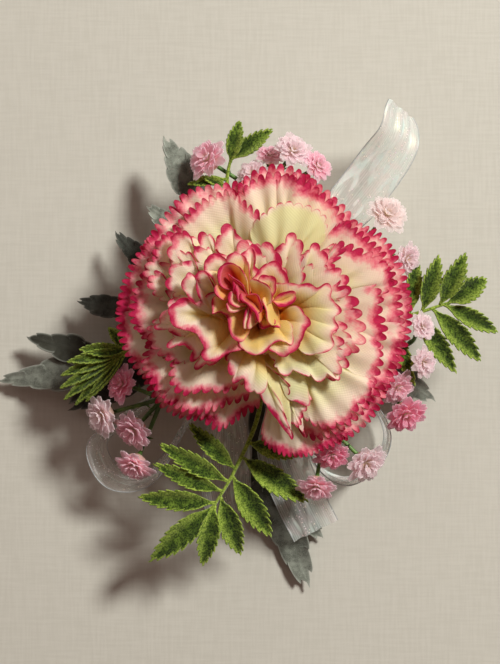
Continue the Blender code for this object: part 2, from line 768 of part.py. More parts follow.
def ribbon_bow(finish):
    """The ribbon: a turn round the bundle, two loops and three tails."""
    radius = BUNDLE_RADIUS + GAP
    points, faces = [], []
    for wide in (radius, radius + COLLAR_THICKNESS):
        for height in (COLLAR_BASE, COLLAR_BASE + COLLAR_WIDTH):
            for side in range(COLLAR_SIDES):
                turn = math.tau * side / COLLAR_SIDES
                points.append(Vector((wide * math.cos(turn), wide * math.sin(turn), height)))
    for low, high in ((0, 1), (1, 3), (3, 2), (2, 0)):
        for side in range(COLLAR_SIDES):
            after = (side + 1) % COLLAR_SIDES
            a, b = low * COLLAR_SIDES, high * COLLAR_SIDES
            faces.append([a + side, a + after, b + after, b + side])
    pieces = [solid("collar", points, faces, finish)]
    for points in RIBBON_RUNS.values():
        pieces.append(ribbon_run(points, finish))
    return fuse("ribbon_bow", pieces)


def build():
    empty_scene()
    petal = material("petal_fabric", (0.93, 0.80, 0.66), 0.7)
    core = material("core_plastic", (0.85, 0.84, 0.78), 0.5)
    green = material("stem_green", (0.16, 0.33, 0.08), 0.6)
    fern_green = material("fern_flock", (0.20, 0.42, 0.09), 0.85)
    grey_green = material("dusty_flock", (0.42, 0.50, 0.46), 0.9)
    pink = material("floret_pink", (0.90, 0.55, 0.66), 0.6)
    organza = material("ribbon_organza", (0.93, 0.93, 0.95), 0.3)
    felt = material("pad_felt", (0.90, 0.89, 0.86), 0.95)
    elastic = material("band_elastic", (0.93, 0.92, 0.90), 0.7)

    wristband(elastic)
    backing_pad(felt)
    stem_bundle(green)
    calyx(green)
    petal_core(core)
    for index in range(len(PETAL_LAYERS)):
        petal_layer(index, petal)
    petal_heart(petal)
    ribbon_bow(organza)
    for place in DUSTY_LEAVES:
        dusty_leaf(place, grey_green)
    for place in FERNS:
        fern(place, fern_green)
    mesh = floret_mesh(pink)
    for place in FLORET_SPRAYS:
        floret_spray(place, green, mesh)


build()
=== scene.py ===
import math
from collections import namedtuple

import bpy
import numpy as np
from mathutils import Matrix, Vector


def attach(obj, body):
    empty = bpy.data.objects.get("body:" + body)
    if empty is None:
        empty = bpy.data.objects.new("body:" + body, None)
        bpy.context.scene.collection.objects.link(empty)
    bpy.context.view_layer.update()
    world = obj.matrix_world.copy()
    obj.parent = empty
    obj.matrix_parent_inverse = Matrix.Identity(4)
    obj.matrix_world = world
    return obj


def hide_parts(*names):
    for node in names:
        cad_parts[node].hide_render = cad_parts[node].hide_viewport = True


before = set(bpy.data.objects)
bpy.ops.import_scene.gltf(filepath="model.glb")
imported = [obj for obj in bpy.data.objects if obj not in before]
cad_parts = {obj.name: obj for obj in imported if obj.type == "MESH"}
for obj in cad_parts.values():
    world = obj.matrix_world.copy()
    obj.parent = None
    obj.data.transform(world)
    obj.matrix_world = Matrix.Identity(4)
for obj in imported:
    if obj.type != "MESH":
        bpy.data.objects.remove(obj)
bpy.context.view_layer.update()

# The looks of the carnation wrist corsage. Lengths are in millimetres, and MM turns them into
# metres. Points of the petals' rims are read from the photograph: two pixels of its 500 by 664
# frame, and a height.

MM = 0.001
UPRIGHT = np.array([0.0, 0.0, 1.0])
LEVEL = np.array([1.0, 1.0, 0.0])
scene = bpy.context.scene
scene.view_settings.view_transform = "Standard"
scene.view_settings.look = "None"

# Camera: straight down, as the photograph was taken

PHOTO_WIDTH, PHOTO_HEIGHT = 500, 664
CAMERA_HEIGHT = 400.0
CAMERA_AT = (-3.75, -6.25)
PIXEL_ON_FLOOR = 0.3288  # millimetres that a pixel covers on the surface
LENS = 65.96
SENSOR = 36.0
NEAREST = 10.0


def add_camera():
    data = bpy.data.cameras.new("camera")
    data.lens = LENS
    data.sensor_width = SENSOR
    data.sensor_fit = "AUTO"
    data.clip_start = NEAREST * MM
    camera = bpy.data.objects.new("camera", data)
    camera.location = (CAMERA_AT[0] * MM, CAMERA_AT[1] * MM, CAMERA_HEIGHT * MM)
    scene.collection.objects.link(camera)
    scene.camera = camera


def at_pixel(across, down, height):
    """The point at a height that the photograph shows at a pixel."""
    size = PIXEL_ON_FLOOR * (1.0 - height / CAMERA_HEIGHT)
    x = CAMERA_AT[0] + (across - PHOTO_WIDTH / 2) * size
    y = CAMERA_AT[1] + (PHOTO_HEIGHT / 2 - down) * size
    return np.array([x, y, height])


# Curves and sheets

CURVE_STEPS = 24


def smooth_curve(points, count, even=True):
    """So many points on a smooth curve through the given ones, and the curve's length."""
    points = np.asarray(points, float)
    ends = np.vstack([2 * points[0] - points[1], points, 2 * points[-1] - points[-2]])
    t = np.linspace(0.0, 1.0, CURVE_STEPS, endpoint=False)[:, None]
    parts = []
    for a, b, c, d in zip(ends, ends[1:], ends[2:], ends[3:]):
        bend = 2 * b + (c - a) * t + (2 * a - 5 * b + 4 * c - d) * t**2
        parts.append(0.5 * (bend + (3 * b - a - 3 * c + d) * t**3))
    dense = np.vstack(parts + [points[-1:]])
    run = run_along(dense)
    scale = run if even else np.arange(len(dense), dtype=float)
    return spread_over(np.linspace(0.0, scale[-1], count), scale, dense), run[-1]


def run_along(points):
    """How far along a line each of its points lies."""
    return np.concatenate([[0.0], np.cumsum(np.linalg.norm(np.diff(points, axis=0), axis=1))])


def spread_over(want, scale, values):
    """Each column of the values, read at the wanted places of their scale."""
    return np.stack([np.interp(want, scale, values[:, k]) for k in range(values.shape[1])], axis=1)


def unit(vectors):
    """The vectors, each at length 1."""
    return vectors / np.maximum(np.linalg.norm(vectors, axis=-1, keepdims=True), 1e-9)


def sheet_normals(grid):
    return unit(np.cross(np.gradient(grid, axis=1), np.gradient(grid, axis=0)))


def ramp(value, low, high):
    """0 at low, 1 at high and smooth between them."""
    share = np.clip((value - low) / (high - low), 0.0, 1.0)
    return share * share * (3.0 - 2.0 * share)


def stacked(*columns):
    """Values side by side as vectors, each spread to the largest shape among them."""
    return np.stack(np.broadcast_arrays(*columns), axis=-1)


def bezier(points, share):
    """Points on the curve that starts and ends at the outer points and bends to the inner."""
    points = [np.asarray(p, float) for p in points]
    share = np.asarray(share, float)[:, None]
    while len(points) > 1:
        points = [a + (b - a) * share for a, b in zip(points, points[1:])]
    return points[0]


class Pieces:
    """Gathers closed sheets and tubes into one mesh, with what its material reads of them."""

    def __init__(self):
        self.points, self.marks, self.cloth = [], [], []
        self.faces = {3: [np.zeros((0, 3), int)], 4: []}
        self.count = 0

    def add(self, points, marks, cloth, quads, triangles=None):
        self.points.append(points)
        self.marks.append(marks)
        self.cloth.append(cloth)
        self.faces[4].append(quads + self.count)
        if triangles is not None:
            self.faces[3].append(triangles + self.count)
        self.count += len(points)

    def sheet(self, grid, thickness, marks, cloth):
        """A closed sheet round a grid of points."""
        rows, columns = grid.shape[:2]
        half = sheet_normals(grid) * np.broadcast_to(thickness, (rows, columns))[..., None] / 2
        points = np.concatenate([(grid + half).reshape(-1, 3), (grid - half).reshape(-1, 3)])
        total = rows * columns
        index = np.arange(total).reshape(rows, columns)
        corners = (index[:-1, :-1], index[:-1, 1:], index[1:, 1:], index[1:, :-1])
        top = np.stack(corners, axis=-1).reshape(-1, 4)
        rim = np.concatenate([index[0, :-1], index[:-1, -1], index[-1, :0:-1], index[:0:-1, 0]])
        after = np.roll(rim, -1)
        sides = np.stack([after, rim, rim + total, after + total], axis=-1)
        quads = np.concatenate([top, top[:, ::-1] + total, sides])
        both_sides = [np.tile(values.reshape(-1, 3), (2, 1)) for values in (marks, cloth)]
        self.add(points, *both_sides, quads)

    def tube(self, route, radii, sides):
        """A closed tube along a route."""
        count = len(route)
        along = unit(np.gradient(route, axis=0))
        across = np.cross(along, UPRIGHT)
        upright = np.linalg.norm(across, axis=1) < 0.2
        across[upright] = np.cross(along[upright], (1.0, 0.0, 0.0))
        across = unit(across)
        for k in range(1, count):
            if np.dot(across[k], across[k - 1]) < 0:
                across[k] = -across[k]
        up = np.cross(across, along)
        turn = (math.tau * np.arange(sides) / sides)[None, :, None]
        ring = across[:, None] * np.cos(turn) + up[:, None] * np.sin(turn)
        body = route[:, None] + ring * np.broadcast_to(radii, (count,))[:, None, None]
        points = np.concatenate([body.reshape(-1, 3), route[:1], route[-1:]])
        index = np.arange(count * sides).reshape(count, sides)
        turned = np.roll(index, -1, axis=1)
        quads = np.stack([index[:-1], turned[:-1], turned[1:], index[1:]], axis=-1).reshape(-1, 4)
        first = np.stack([turned[0], index[0], np.full(sides, count * sides)], axis=-1)
        last = np.stack([index[-1], turned[-1], np.full(sides, count * sides + 1)], axis=-1)
        marks = np.zeros((len(points), 3))
        marks[:-2, 0] = np.repeat(np.linspace(0.0, 1.0, count), sides)
        self.add(points, marks, points, quads, np.concatenate([first, last]))

    def ring(self, rings):
        """A closed body from rings of points that follow each other and meet again."""
        index = np.arange(rings.shape[0] * rings.shape[1]).reshape(rings.shape[:2])
        below = np.roll(index, -1, axis=0)
        corners = (index, np.roll(index, -1, axis=1), np.roll(below, -1, axis=1), below)
        points = rings.reshape(-1, 3)
        self.add(points, np.zeros_like(points), points, np.stack(corners, axis=-1).reshape(-1, 4))

    def build(self, name, finish, node, sharp=60):
        """The object, riding with the part and standing for its CAD node."""
        points = np.vstack(self.points) * MM
        quads = np.vstack(self.faces[4]).astype(np.int32)
        triangles = np.vstack(self.faces[3]).astype(np.int32)
        corners = np.concatenate([quads.ravel(), triangles.ravel()])
        starts = np.concatenate([4 * np.arange(len(quads)), quads.size + 3 * np.arange(len(triangles))])
        mesh = bpy.data.meshes.new(name)
        mesh.vertices.add(len(points))
        mesh.vertices.foreach_set("co", points.ravel())
        mesh.loops.add(len(corners))
        mesh.loops.foreach_set("vertex_index", corners)
        mesh.polygons.add(len(starts))
        mesh.polygons.foreach_set("loop_start", starts.astype(np.int32))
        mesh.update(calc_edges=True)
        for label, values in (("marks", self.marks), ("cloth", self.cloth)):
            layer = mesh.attributes.new(label, "FLOAT_VECTOR", "POINT")
            layer.data.foreach_set("vector", np.vstack(values).astype(np.float32).ravel())
        mesh.shade_smooth()
        mesh.set_sharp_from_angle(angle=math.radians(sharp))
        mesh.materials.append(finish)
        made = bpy.data.objects.new(name, mesh)
        scene.collection.objects.link(made)
        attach(made, "root")
        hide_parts(node)
        return made


# Materials


class Finish:
    """A material, and short ways to add its nodes."""

    def __init__(self, name):
        self.material = bpy.data.materials.new(name)
        self.material.use_nodes = True
        self.nodes = self.material.node_tree.nodes
        self.shader = self.nodes["Principled BSDF"]
        self.output = self.nodes["Material Output"]

    def link(self, value, socket):
        """Links a socket, or gives it a number, a vector or a colour."""
        if isinstance(value, bpy.types.NodeSocket):
            self.material.node_tree.links.new(value, socket)
        elif socket.type == "RGBA":
            socket.default_value = (*value, 1.0)
        else:
            socket.default_value = value

    def set(self, node=None, **values):
        """Sets inputs, of the main shader where no node is given."""
        for name, value in values.items():
            self.link(value, (node or self.shader).inputs[name.replace("_", " ")])

    def node(self, kind, **values):
        made = self.nodes.new("ShaderNode" + kind)
        self.set(made, **values)
        return made

    def attribute(self, name):
        node = self.node("Attribute")
        node.attribute_name = name
        return node.outputs["Vector"]

    def place(self):
        return self.node("TexCoord").outputs["Object"]

    def parts(self, vector):
        return self.node("SeparateXYZ", Vector=vector).outputs

    def stretched(self, vector, scale):
        return self.node("Mapping", Vector=vector, Scale=scale).outputs[0]

    def math(self, operation, *values):
        node = self.node("Math")
        node.operation = operation
        for value, socket in zip(values, node.inputs):
            self.link(value, socket)
        return node.outputs[0]

    def times(self, a, b):
        return self.math("MULTIPLY", a, b)

    def plus(self, a, b):
        return self.math("ADD", a, b)

    def larger(self, a, b):
        return self.math("MAXIMUM", a, b)

    def scaled(self, value, factor, start):
        """Start, and the value by a factor on top of it."""
        return self.math("MULTIPLY_ADD", value, factor, start)

    def range(self, value, low, high, to_low=0.0, to_high=1.0):
        """The value from a range moved smoothly to another one."""
        node = self.node("MapRange")
        node.interpolation_type = "SMOOTHSTEP"
        for item, socket in zip((value, low, high, to_low, to_high), node.inputs):
            self.link(item, socket)
        return node.outputs[0]

    def noise(self, vector, scale, detail=2.0, roughness=0.5):
        node = self.node("TexNoise", Vector=vector, Scale=scale, Detail=detail, Roughness=roughness)
        return node.outputs["Fac"]

    def wave(self, vector, scale, turn=0.0):
        """Even stripes across a vector's X, turned in its XY plane."""
        spin = self.node("VectorRotate", Vector=vector, Angle=math.radians(turn))
        spin.rotation_type = "Z_AXIS"
        across = self.parts(spin.outputs[0])[0]
        return self.math("SINE", self.times(across, math.tau * scale))

    def mix(self, share, a, b):
        """A colour between two, at a share of the way."""
        node = self.node("Mix")
        node.data_type = "RGBA"
        for value, socket in ((share, node.inputs[0]), (a, node.inputs[6]), (b, node.inputs[7])):
            self.link(value, socket)
        return node.outputs[2]

    def bump(self, height, strength, distance):
        node = self.node("Bump", Strength=strength, Distance=distance * MM, Height=height)
        self.set(Normal=node.outputs[0])
        return node.outputs[0]

    def mix_shaders(self, share, first, second):
        """A shader between two, which becomes the material's surface."""
        both = self.node("MixShader")
        for value, socket in zip((share, first.outputs[0], second.outputs[0]), both.inputs):
            self.link(value, socket)
        self.link(both.outputs[0], self.output.inputs[0])
        return both

    def glow_through(self, share, colour, **values):
        """Lets a share of the light through the sheet."""
        through = self.node("BsdfTranslucent", Color=colour, **values)
        return self.mix_shaders(share, self.shader, through)


TWILL = 1.0 / 0.72  # ridges of the satin's twill to the millimetre
MAGENTA = (0.67, 0.020, 0.125)
DEEP_MAGENTA = (0.50, 0.011, 0.070)
ROSE = (0.92, 0.20, 0.32)
BLUSH = (1.0, 0.87, 0.82)
CREAM = (0.90, 0.905, 0.60)
GOLD = (0.92, 0.735, 0.26)
AMBER = (0.90, 0.38, 0.06)
EMBER = (0.60, 0.030, 0.030)
PETAL_GLOW = 0.54  # share of the light that comes through
PETAL_GLOW_TINT = (1.0, 0.72, 0.36)


def petal_finish():
    """Cream satin, golden towards the heart, with rims dipped in magenta dye."""
    f = Finish("petal_satin")
    band, edge, deep = f.parts(f.attribute("marks"))[:3]
    cloth = f.attribute("cloth")
    warm = f.parts(cloth)[2]
    patchy = f.noise(cloth, 0.9, 3.0)
    soft = f.noise(cloth, 0.16, 2.0)

    # How far the dye has soaked in from the rim, and a thin line of it along the cut edge
    soaked = f.plus(band, f.scaled(patchy, 1.6, -0.8))
    soaked = f.plus(soaked, f.scaled(soft, 5.0, -2.5))
    margin = f.times(f.range(edge, 0.6, 0.1), f.range(band, 9.0, 2.5))
    strong = f.larger(f.range(soaked, 1.3, 0.35), f.times(margin, 0.35))
    pink = f.larger(f.range(soaked, 2.5, 0.9), f.times(margin, 0.6))
    halo = f.range(soaked, 9.0, 1.6)

    # Golden with the depth in the bloom, deepening to amber and ember as painted shade in its hollows,
    # then blush, rose and magenta towards the rim
    depth = f.scaled(soft, 0.5, f.plus(deep, -0.35))
    depth = f.plus(depth, warm)
    colour = f.mix(f.range(depth, 0.15, 0.95), CREAM, GOLD)
    colour = f.mix(f.range(depth, 0.85, 1.5), colour, AMBER)
    colour = f.mix(f.range(depth, 1.45, 1.9), colour, EMBER)
    colour = f.mix(f.times(halo, f.range(depth, 1.1, 0.4, 0.1, 0.75)), colour, BLUSH)
    colour = f.mix(f.times(pink, 0.85), colour, ROSE)
    dye = f.mix(f.range(f.math("SUBTRACT", patchy, edge), 0.0, 0.6), MAGENTA, DEEP_MAGENTA)
    colour = f.mix(strong, colour, dye)
    f.set(Base_Color=colour, Roughness=0.52, Specular_IOR_Level=0.35)
    f.set(Sheen_Weight=0.12, Sheen_Roughness=0.45)
    weave = f.scaled(f.wave(cloth, TWILL, -32), 0.45, f.wave(cloth, TWILL, 58))
    normal = f.bump(weave, 0.22, 0.06)
    f.glow_through(PETAL_GLOW, f.mix(0.10, colour, PETAL_GLOW_TINT), Normal=normal)
    return f.material


# Base and tips of the flock's fibres: in patches, elsewhere, and along a leaflet's edges, the last also
# painted along one side of it as light
FLOCK_DARK = ((0.007, 0.016, 0.002), (0.050, 0.092, 0.009))
FLOCK_GREEN = ((0.026, 0.046, 0.005), (0.120, 0.195, 0.022))
FLOCK_RIM_AND_LIT = ((0.13, 0.22, 0.02), (0.38, 0.50, 0.08))


def flock_finish():
    """Green flocked leaf: a grainy pile, dark between its fibres and yellow green at its edges, with
    painted light that makes one side of it paler.
    """
    f = Finish("fern_flocking")
    side, edge = f.parts(f.attribute("marks"))[:2]
    cloth = f.attribute("cloth")
    grain = f.noise(cloth, 1.7, 3.0, 0.7)
    fine = f.noise(cloth, 4.5, 2.0)
    patch = f.noise(cloth, 0.35, 2.0)
    speckle = f.range(f.scaled(fine, 0.4, grain), 0.60, 0.78)
    green, dark, rim_and_lit = [f.mix(speckle, *pair) for pair in (FLOCK_GREEN, FLOCK_DARK, FLOCK_RIM_AND_LIT)]
    body = f.mix(f.range(patch, 0.40, 0.56), green, dark)
    # Paler along the edges, and painted light on the side of each leaflet whose mark runs towards +1
    pale = f.larger(f.range(edge, 0.55, 0.05, 0.0, 0.85), f.range(side, 0.05, 0.9, 0.0, 0.65))
    f.set(Base_Color=f.mix(pale, body, rim_and_lit), Roughness=0.9, Specular_IOR_Level=0.15)
    f.set(Sheen_Weight=0.35, Sheen_Roughness=0.4)
    f.bump(f.plus(grain, fine), 0.8, 0.28)
    return f.material


DUSTY_LOW = (0.095, 0.105, 0.085)
DUSTY_HIGH = (0.23, 0.255, 0.215)
DUSTY_FIBRE = (0.40, 0.43, 0.38)
DUSTY_RIM = (0.42, 0.45, 0.40)
# Painted shade: the colour that the velvet darkens to near the stem, where the bloom's shadow lies
DUSTY_SHADE = (0.022, 0.020, 0.014)  # towards the stem, under the bloom
# Painted shade: the share of their colours that the shaded leaves keep
SHADE_TONE = 0.28


def dusty_finish(name, tone):
    """Grey green velvet leaf with a paler rim, darkened all over as painted shade the lower its tone,
    and towards the stem as painted shade.
    """
    f = Finish(name)
    _, edge, out = f.parts(f.attribute("marks"))[:3]
    cloth = f.attribute("cloth")
    fine = f.noise(cloth, 4.0, 3.0, 0.6)
    low, high = [tuple(tone * part for part in colour) for colour in (DUSTY_LOW, DUSTY_HIGH)]
    body = f.mix(f.range(f.noise(cloth, 0.3, 3.0), 0.35, 0.68), low, high)
    body = f.mix(f.range(fine, 0.38, 0.66), body, f.mix(0.3 * tone, body, DUSTY_FIBRE))
    # Painted shade: darker towards the stem, under the bloom
    body = f.mix(f.range(out, 0.35, 0.95, 0.85, 0.0), body, DUSTY_SHADE)
    rim = f.times(f.range(edge, 0.55, 0.05), 0.4 * tone)
    f.set(Base_Color=f.mix(rim, body, DUSTY_RIM), Roughness=0.95, Specular_IOR_Level=0.1)
    f.set(Sheen_Weight=0.3, Sheen_Roughness=0.4)
    f.bump(fine, 0.6, 0.22)
    return f.material


FLORET_THROAT = (0.95, 0.84, 0.72)
FLORET_GLOW = 0.80
# Names of the florets' tones, with the colours of their petals and of the tips of these
FLORET_COLOURS = {
    "pink": ((1.0, 0.79, 0.86), (1.0, 0.89, 0.94)),
    "pale": ((0.99, 0.90, 0.93), (1.0, 0.95, 0.97)),
    "rose": ((1.0, 0.63, 0.76), (1.0, 0.78, 0.86)),
    "white": ((0.99, 0.92, 0.92), (1.0, 0.97, 0.97)),
}


def floret_finish(name, pink, tip):
    """Crinkled film, pale at its tips and creamy in its throat."""
    f = Finish(name)
    out = f.parts(f.attribute("marks"))[0]
    cloth = f.attribute("cloth")
    patchy = f.noise(cloth, 1.1, 3.0)
    base = f.mix(f.range(f.scaled(patchy, 0.5, out), 0.15, 0.75), FLORET_THROAT, pink)
    colour = f.mix(f.range(f.scaled(patchy, 0.35, out), 0.92, 1.25), base, tip)
    f.set(Base_Color=colour, Roughness=0.42, Sheen_Weight=0.15)
    normal = f.bump(f.noise(cloth, 1.6, 2.0), 0.25, 0.08)
    f.glow_through(FLORET_GLOW, colour, Normal=normal)
    return f.material


ORGANZA_ROSE = (0.97, 0.92, 0.93)
ORGANZA_CYAN = (0.88, 0.97, 0.95)
# Painted highlight: the near-white colour laid on the ribbon where it bends
ORGANZA_PAINTED_HIGHLIGHT = (0.90, 1.0, 0.98)
THREADS = 1.5  # woven threads to the millimetre
GLITTER = 1.8  # cells of the glitter to the millimetre
COVER, THIN_COVER = (0.28, 0.46), (0.08, 0.22)  # least and most of what the ribbon hides
WHITE = (1.0, 1.0, 1.0)
FILM_NANOMETRES = 420.0
FILM_IOR = 1.45


def organza_finish(name, least, most):
    """Sheer ribbon that shimmers from white to cyan and rose, with its least and most cover, painted
    highlights along its bends and glitter spots painted nearly white as glints.
    """
    f = Finish(name)
    cloth = f.attribute("cloth")
    threads = f.wave(cloth, THREADS)
    streak = f.noise(f.stretched(cloth, (1.6, 0.10, 1.0)), 1.0, 2.0)
    glint = f.noise(cloth, 3.4, 1.0)
    hue = f.mix(f.range(f.noise(cloth, 0.25, 2.0), 0.35, 0.65), ORGANZA_ROSE, ORGANZA_CYAN)

    # Glitter: a few cells of a pattern, each an opaque spot nearly white in its own tint, the flakes'
    # glint painted into their colour
    cells = f.node("TexVoronoi", Vector=cloth, Scale=GLITTER)
    tint = cells.outputs["Color"]
    picked = f.range(f.parts(tint)[0], 0.90, 0.91)
    spark = f.times(picked, f.range(cells.outputs["Distance"], 0.45, 0.3))

    # Painted highlight: broad pale patches along the run, most of all at the bend listed for it, which
    # also hide more of what lies behind
    highlight_band = f.times(f.parts(f.attribute("marks"))[2], 0.16)
    highlight_patches = f.noise(f.stretched(cloth, (0.50, 0.11, 1.0)), 1.0, 0.0)
    painted_highlight = f.range(f.plus(highlight_patches, highlight_band), 0.50, 0.78)

    colour = f.mix(spark, f.mix(painted_highlight, hue, ORGANZA_PAINTED_HIGHLIGHT), f.mix(0.3, WHITE, tint))
    f.set(Base_Color=colour, Metallic=0.08, Roughness=f.range(glint, 0.5, 0.72, 0.34, 0.14))
    f.set(Specular_IOR_Level=0.9, Thin_Film_Thickness=FILM_NANOMETRES, Thin_Film_IOR=FILM_IOR)
    f.bump(f.scaled(glint, 0.5, f.scaled(threads, 0.12, f.times(streak, 0.5))), 0.55, 0.22)
    silk = f.glow_through(0.5, hue)
    cover = f.range(f.scaled(threads, 0.12, streak), 0.35, 0.72, least, most)
    cover = f.larger(f.larger(cover, f.times(painted_highlight, most * 2.2)), spark)
    f.mix_shaders(cover, f.node("BsdfTransparent"), silk)
    return f.material


def patterned(name, colours, noise, reach=None, **values):
    """A finish of two colours by a noise on its cloth, of a scale, detail and roughness."""
    f = Finish(name)
    f.cloth = f.attribute("cloth")
    f.pattern = f.noise(f.cloth, *noise)
    f.set(Base_Color=f.mix(f.range(f.pattern, *reach) if reach else f.pattern, *colours), **values)
    return f


def stem_finish():
    """Moulded green stem, with darker patches."""
    greens = ((0.035, 0.085, 0.015), (0.10, 0.22, 0.04))
    f = patterned("stem_plastic", greens, (0.25, 2.0), (0.35, 0.7), Roughness=0.5)
    f.bump(f.noise(f.cloth, 1.5, 3.0), 0.35, 0.1)
    return f.material


def tape_finish():
    """Waxed crepe tape wound round the stems."""
    greens = ((0.05, 0.12, 0.03), (0.11, 0.23, 0.06))
    f = patterned("floral_tape", greens, (1.8, 4.0, 0.7), (0.35, 0.65), Roughness=0.6)
    f.bump(f.pattern, 0.6, 0.2)
    return f.material


def thread_finish():
    """Thin grey thread woven into the ribbon's edges."""
    greys = ((0.20, 0.22, 0.23), (0.55, 0.60, 0.62))
    return patterned("ribbon_thread", greys, (1.4, 1.0), Roughness=0.3).material


def felt_finish():
    """White felt with short fibres."""
    whites = ((0.55, 0.53, 0.49), (0.86, 0.85, 0.81))
    f = patterned("white_felt", whites, (3.2, 5.0, 0.75), Roughness=0.95, Sheen_Weight=0.5)
    f.bump(f.pattern, 0.9, 0.25)
    return f.material


def elastic_finish():
    """White ribbed elastic, a knit between its rubber cords."""
    whites = ((0.80, 0.78, 0.74), (0.88, 0.87, 0.84))
    f = patterned("white_elastic", whites, (0.15, 2.0), Roughness=0.75, Sheen_Weight=0.3)
    f.bump(f.times(f.wave(f.cloth, 1.6), f.wave(f.cloth, 1.6, 90)), 0.5, 0.12)
    return f.material


def core_finish():
    """Off-white moulded plastic."""
    f = Finish("core_plastic")
    pattern = f.noise(f.place(), 300.0)
    f.set(Base_Color=f.mix(pattern, (0.70, 0.69, 0.62), (0.78, 0.77, 0.70)), Roughness=0.45)
    return f.material


def canvas_finish():
    """The pale cloth-grained surface under the corsage."""
    f = Finish("pale_canvas")
    place = f.place()
    ways = ((1100.0, 90.0, 1.0), (90.0, 1100.0, 1.0))
    threads = f.plus(*[f.noise(f.stretched(place, way), 1.0, 1.0) for way in ways])
    tint = f.mix(f.noise(place, 9.0, 2.0), (0.480, 0.472, 0.418), (0.510, 0.502, 0.448))
    colour = f.mix(f.range(threads, 0.7, 1.3), tint, (0.527, 0.519, 0.465))
    f.set(Base_Color=colour, Roughness=0.9)
    f.bump(threads, 0.22, 0.12)
    return f.material


# Bloom

CORE_HEIGHT = 27.5
ROOT_RADIUS = 6.0
LAYER_HEIGHTS = (34.5, 38.1, 42.5, 47.1, 51.5, 55.1, 57.9, 59.0)
ROOT_ANGLES = (3, 14, 25, 36, 47, 58, 69, 80)
RISES = (4, 26, 48, 62, 70, 76, 80, 84)  # degrees above level in which the petals leave the core
PETAL_SHEET = 0.28
MERIDIAN_STEPS = 40
COLUMN_PITCH = 0.48
LEAST_COLUMNS = 18
# Rows of a petal, as shares: even from its root, then following the teeth at its rim
INNER_ROWS = np.concatenate([np.linspace(0.0, 0.6, 6), np.linspace(0.72, 1.0, 7)])
OUTER_ROWS = np.linspace(0.0, 1.0, 9)[1:]
# How the petals of each layer are cut, bent and dyed: width, depth and bluntness of a tooth,
# degrees that the rim flares above level, height and length of a ruffle, cupping of a tooth,
# reach of the dye, and how golden the satin is, whose higher values paint shade in amber and ember
STYLE_NAMES = ("tooth", "cut", "blunt", "flare", "ruffle", "ruffle_length", "cup", "dye", "warmth_and_shade")
STYLES = (
    (2.3, 2.3, 2.5, 0, 0.50, 7.0, 0.34, 2.3, 0.0),
    (2.4, 2.3, 2.5, 3, 0.55, 7.5, 0.36, 2.2, 0.0),
    (3.0, 1.9, 2.4, 5, 0.35, 9.0, 0.36, 1.55, 0.06),
    (5.4, 1.5, 2.4, 8, 0.30, 9.0, 0.40, 1.10, 0.18),
    (5.2, 0.4, 2.0, 12, 0.25, 8.0, 0.25, 0.95, 0.34),
    (4.6, 0.3, 2.0, 24, 0.20, 7.0, 0.15, 0.75, 0.60),
    (4.0, 0.2, 2.0, 34, 0.15, 6.0, 0.12, 0.70, 0.95),
    (3.4, 0.2, 2.0, 48, 0.10, 5.0, 0.10, 0.95, 1.45),
)
CORNERS = (1.8, 1.8, 2.0, 2.4, 2.2, 1.8, 1.5, 1.2)  # how far a rim's ends are rounded
DROOPS = (0.15, 0.20, 0.40, 0.40, 0.22, 0.25, 0.3, 0.3)  # how far a rim's bulge hangs, to its size
PETAL_TILT = (0.6, 0.6, 0.4, 0.0, 0.0, 0.0, 0.0, 0.0)
# Side and inward reach and drop of the two points that widen a lobe into a petal, and the layers
# that have them
SHOULDERS = ((2.6, 2.4, 0.9), (4.8, 6.0, 2.4))
LOW_SHOULDERS = ((2.5, 1.0, 0.8), (5.0, 3.2, 1.8))
SHOULDERED = (2, 3, 4)
GAP = (-93.0, 11.0)  # where the outer petals part, as an angle, and half its width, in degrees
DARK_SIDE = (8.0, 32.0)  # where the rims took more dye, the same way
DARK_SIDE_LAYER = 2
# Where the satin is dyed golden round the heart: middle, and reach where it fades and starts
GOLDEN_AT = (254, 322)
GOLDEN_REACH = (21.0, 7.0)
GOLDEN = 0.5
RUFFLE_SWAY = 75.0  # degrees that a ruffle as high as it is long tips the rim
RIM_SAG = 6.0  # degrees that a bulge of a millimetre tips it down
MOST_BULGE = 2.5
RIM_AVERAGE, BULGE_AVERAGE = 2.5, 4.5  # lengths over which the rim's way and course are averaged
LEAST_ROOT = 0.7  # angle in radians that the foot of a petal takes at least
FOOT_PULL, RIM_PULL = 0.40, 0.50  # how straight a petal leaves the core, and runs into its rim
FLUTE_LENGTH = 5.0
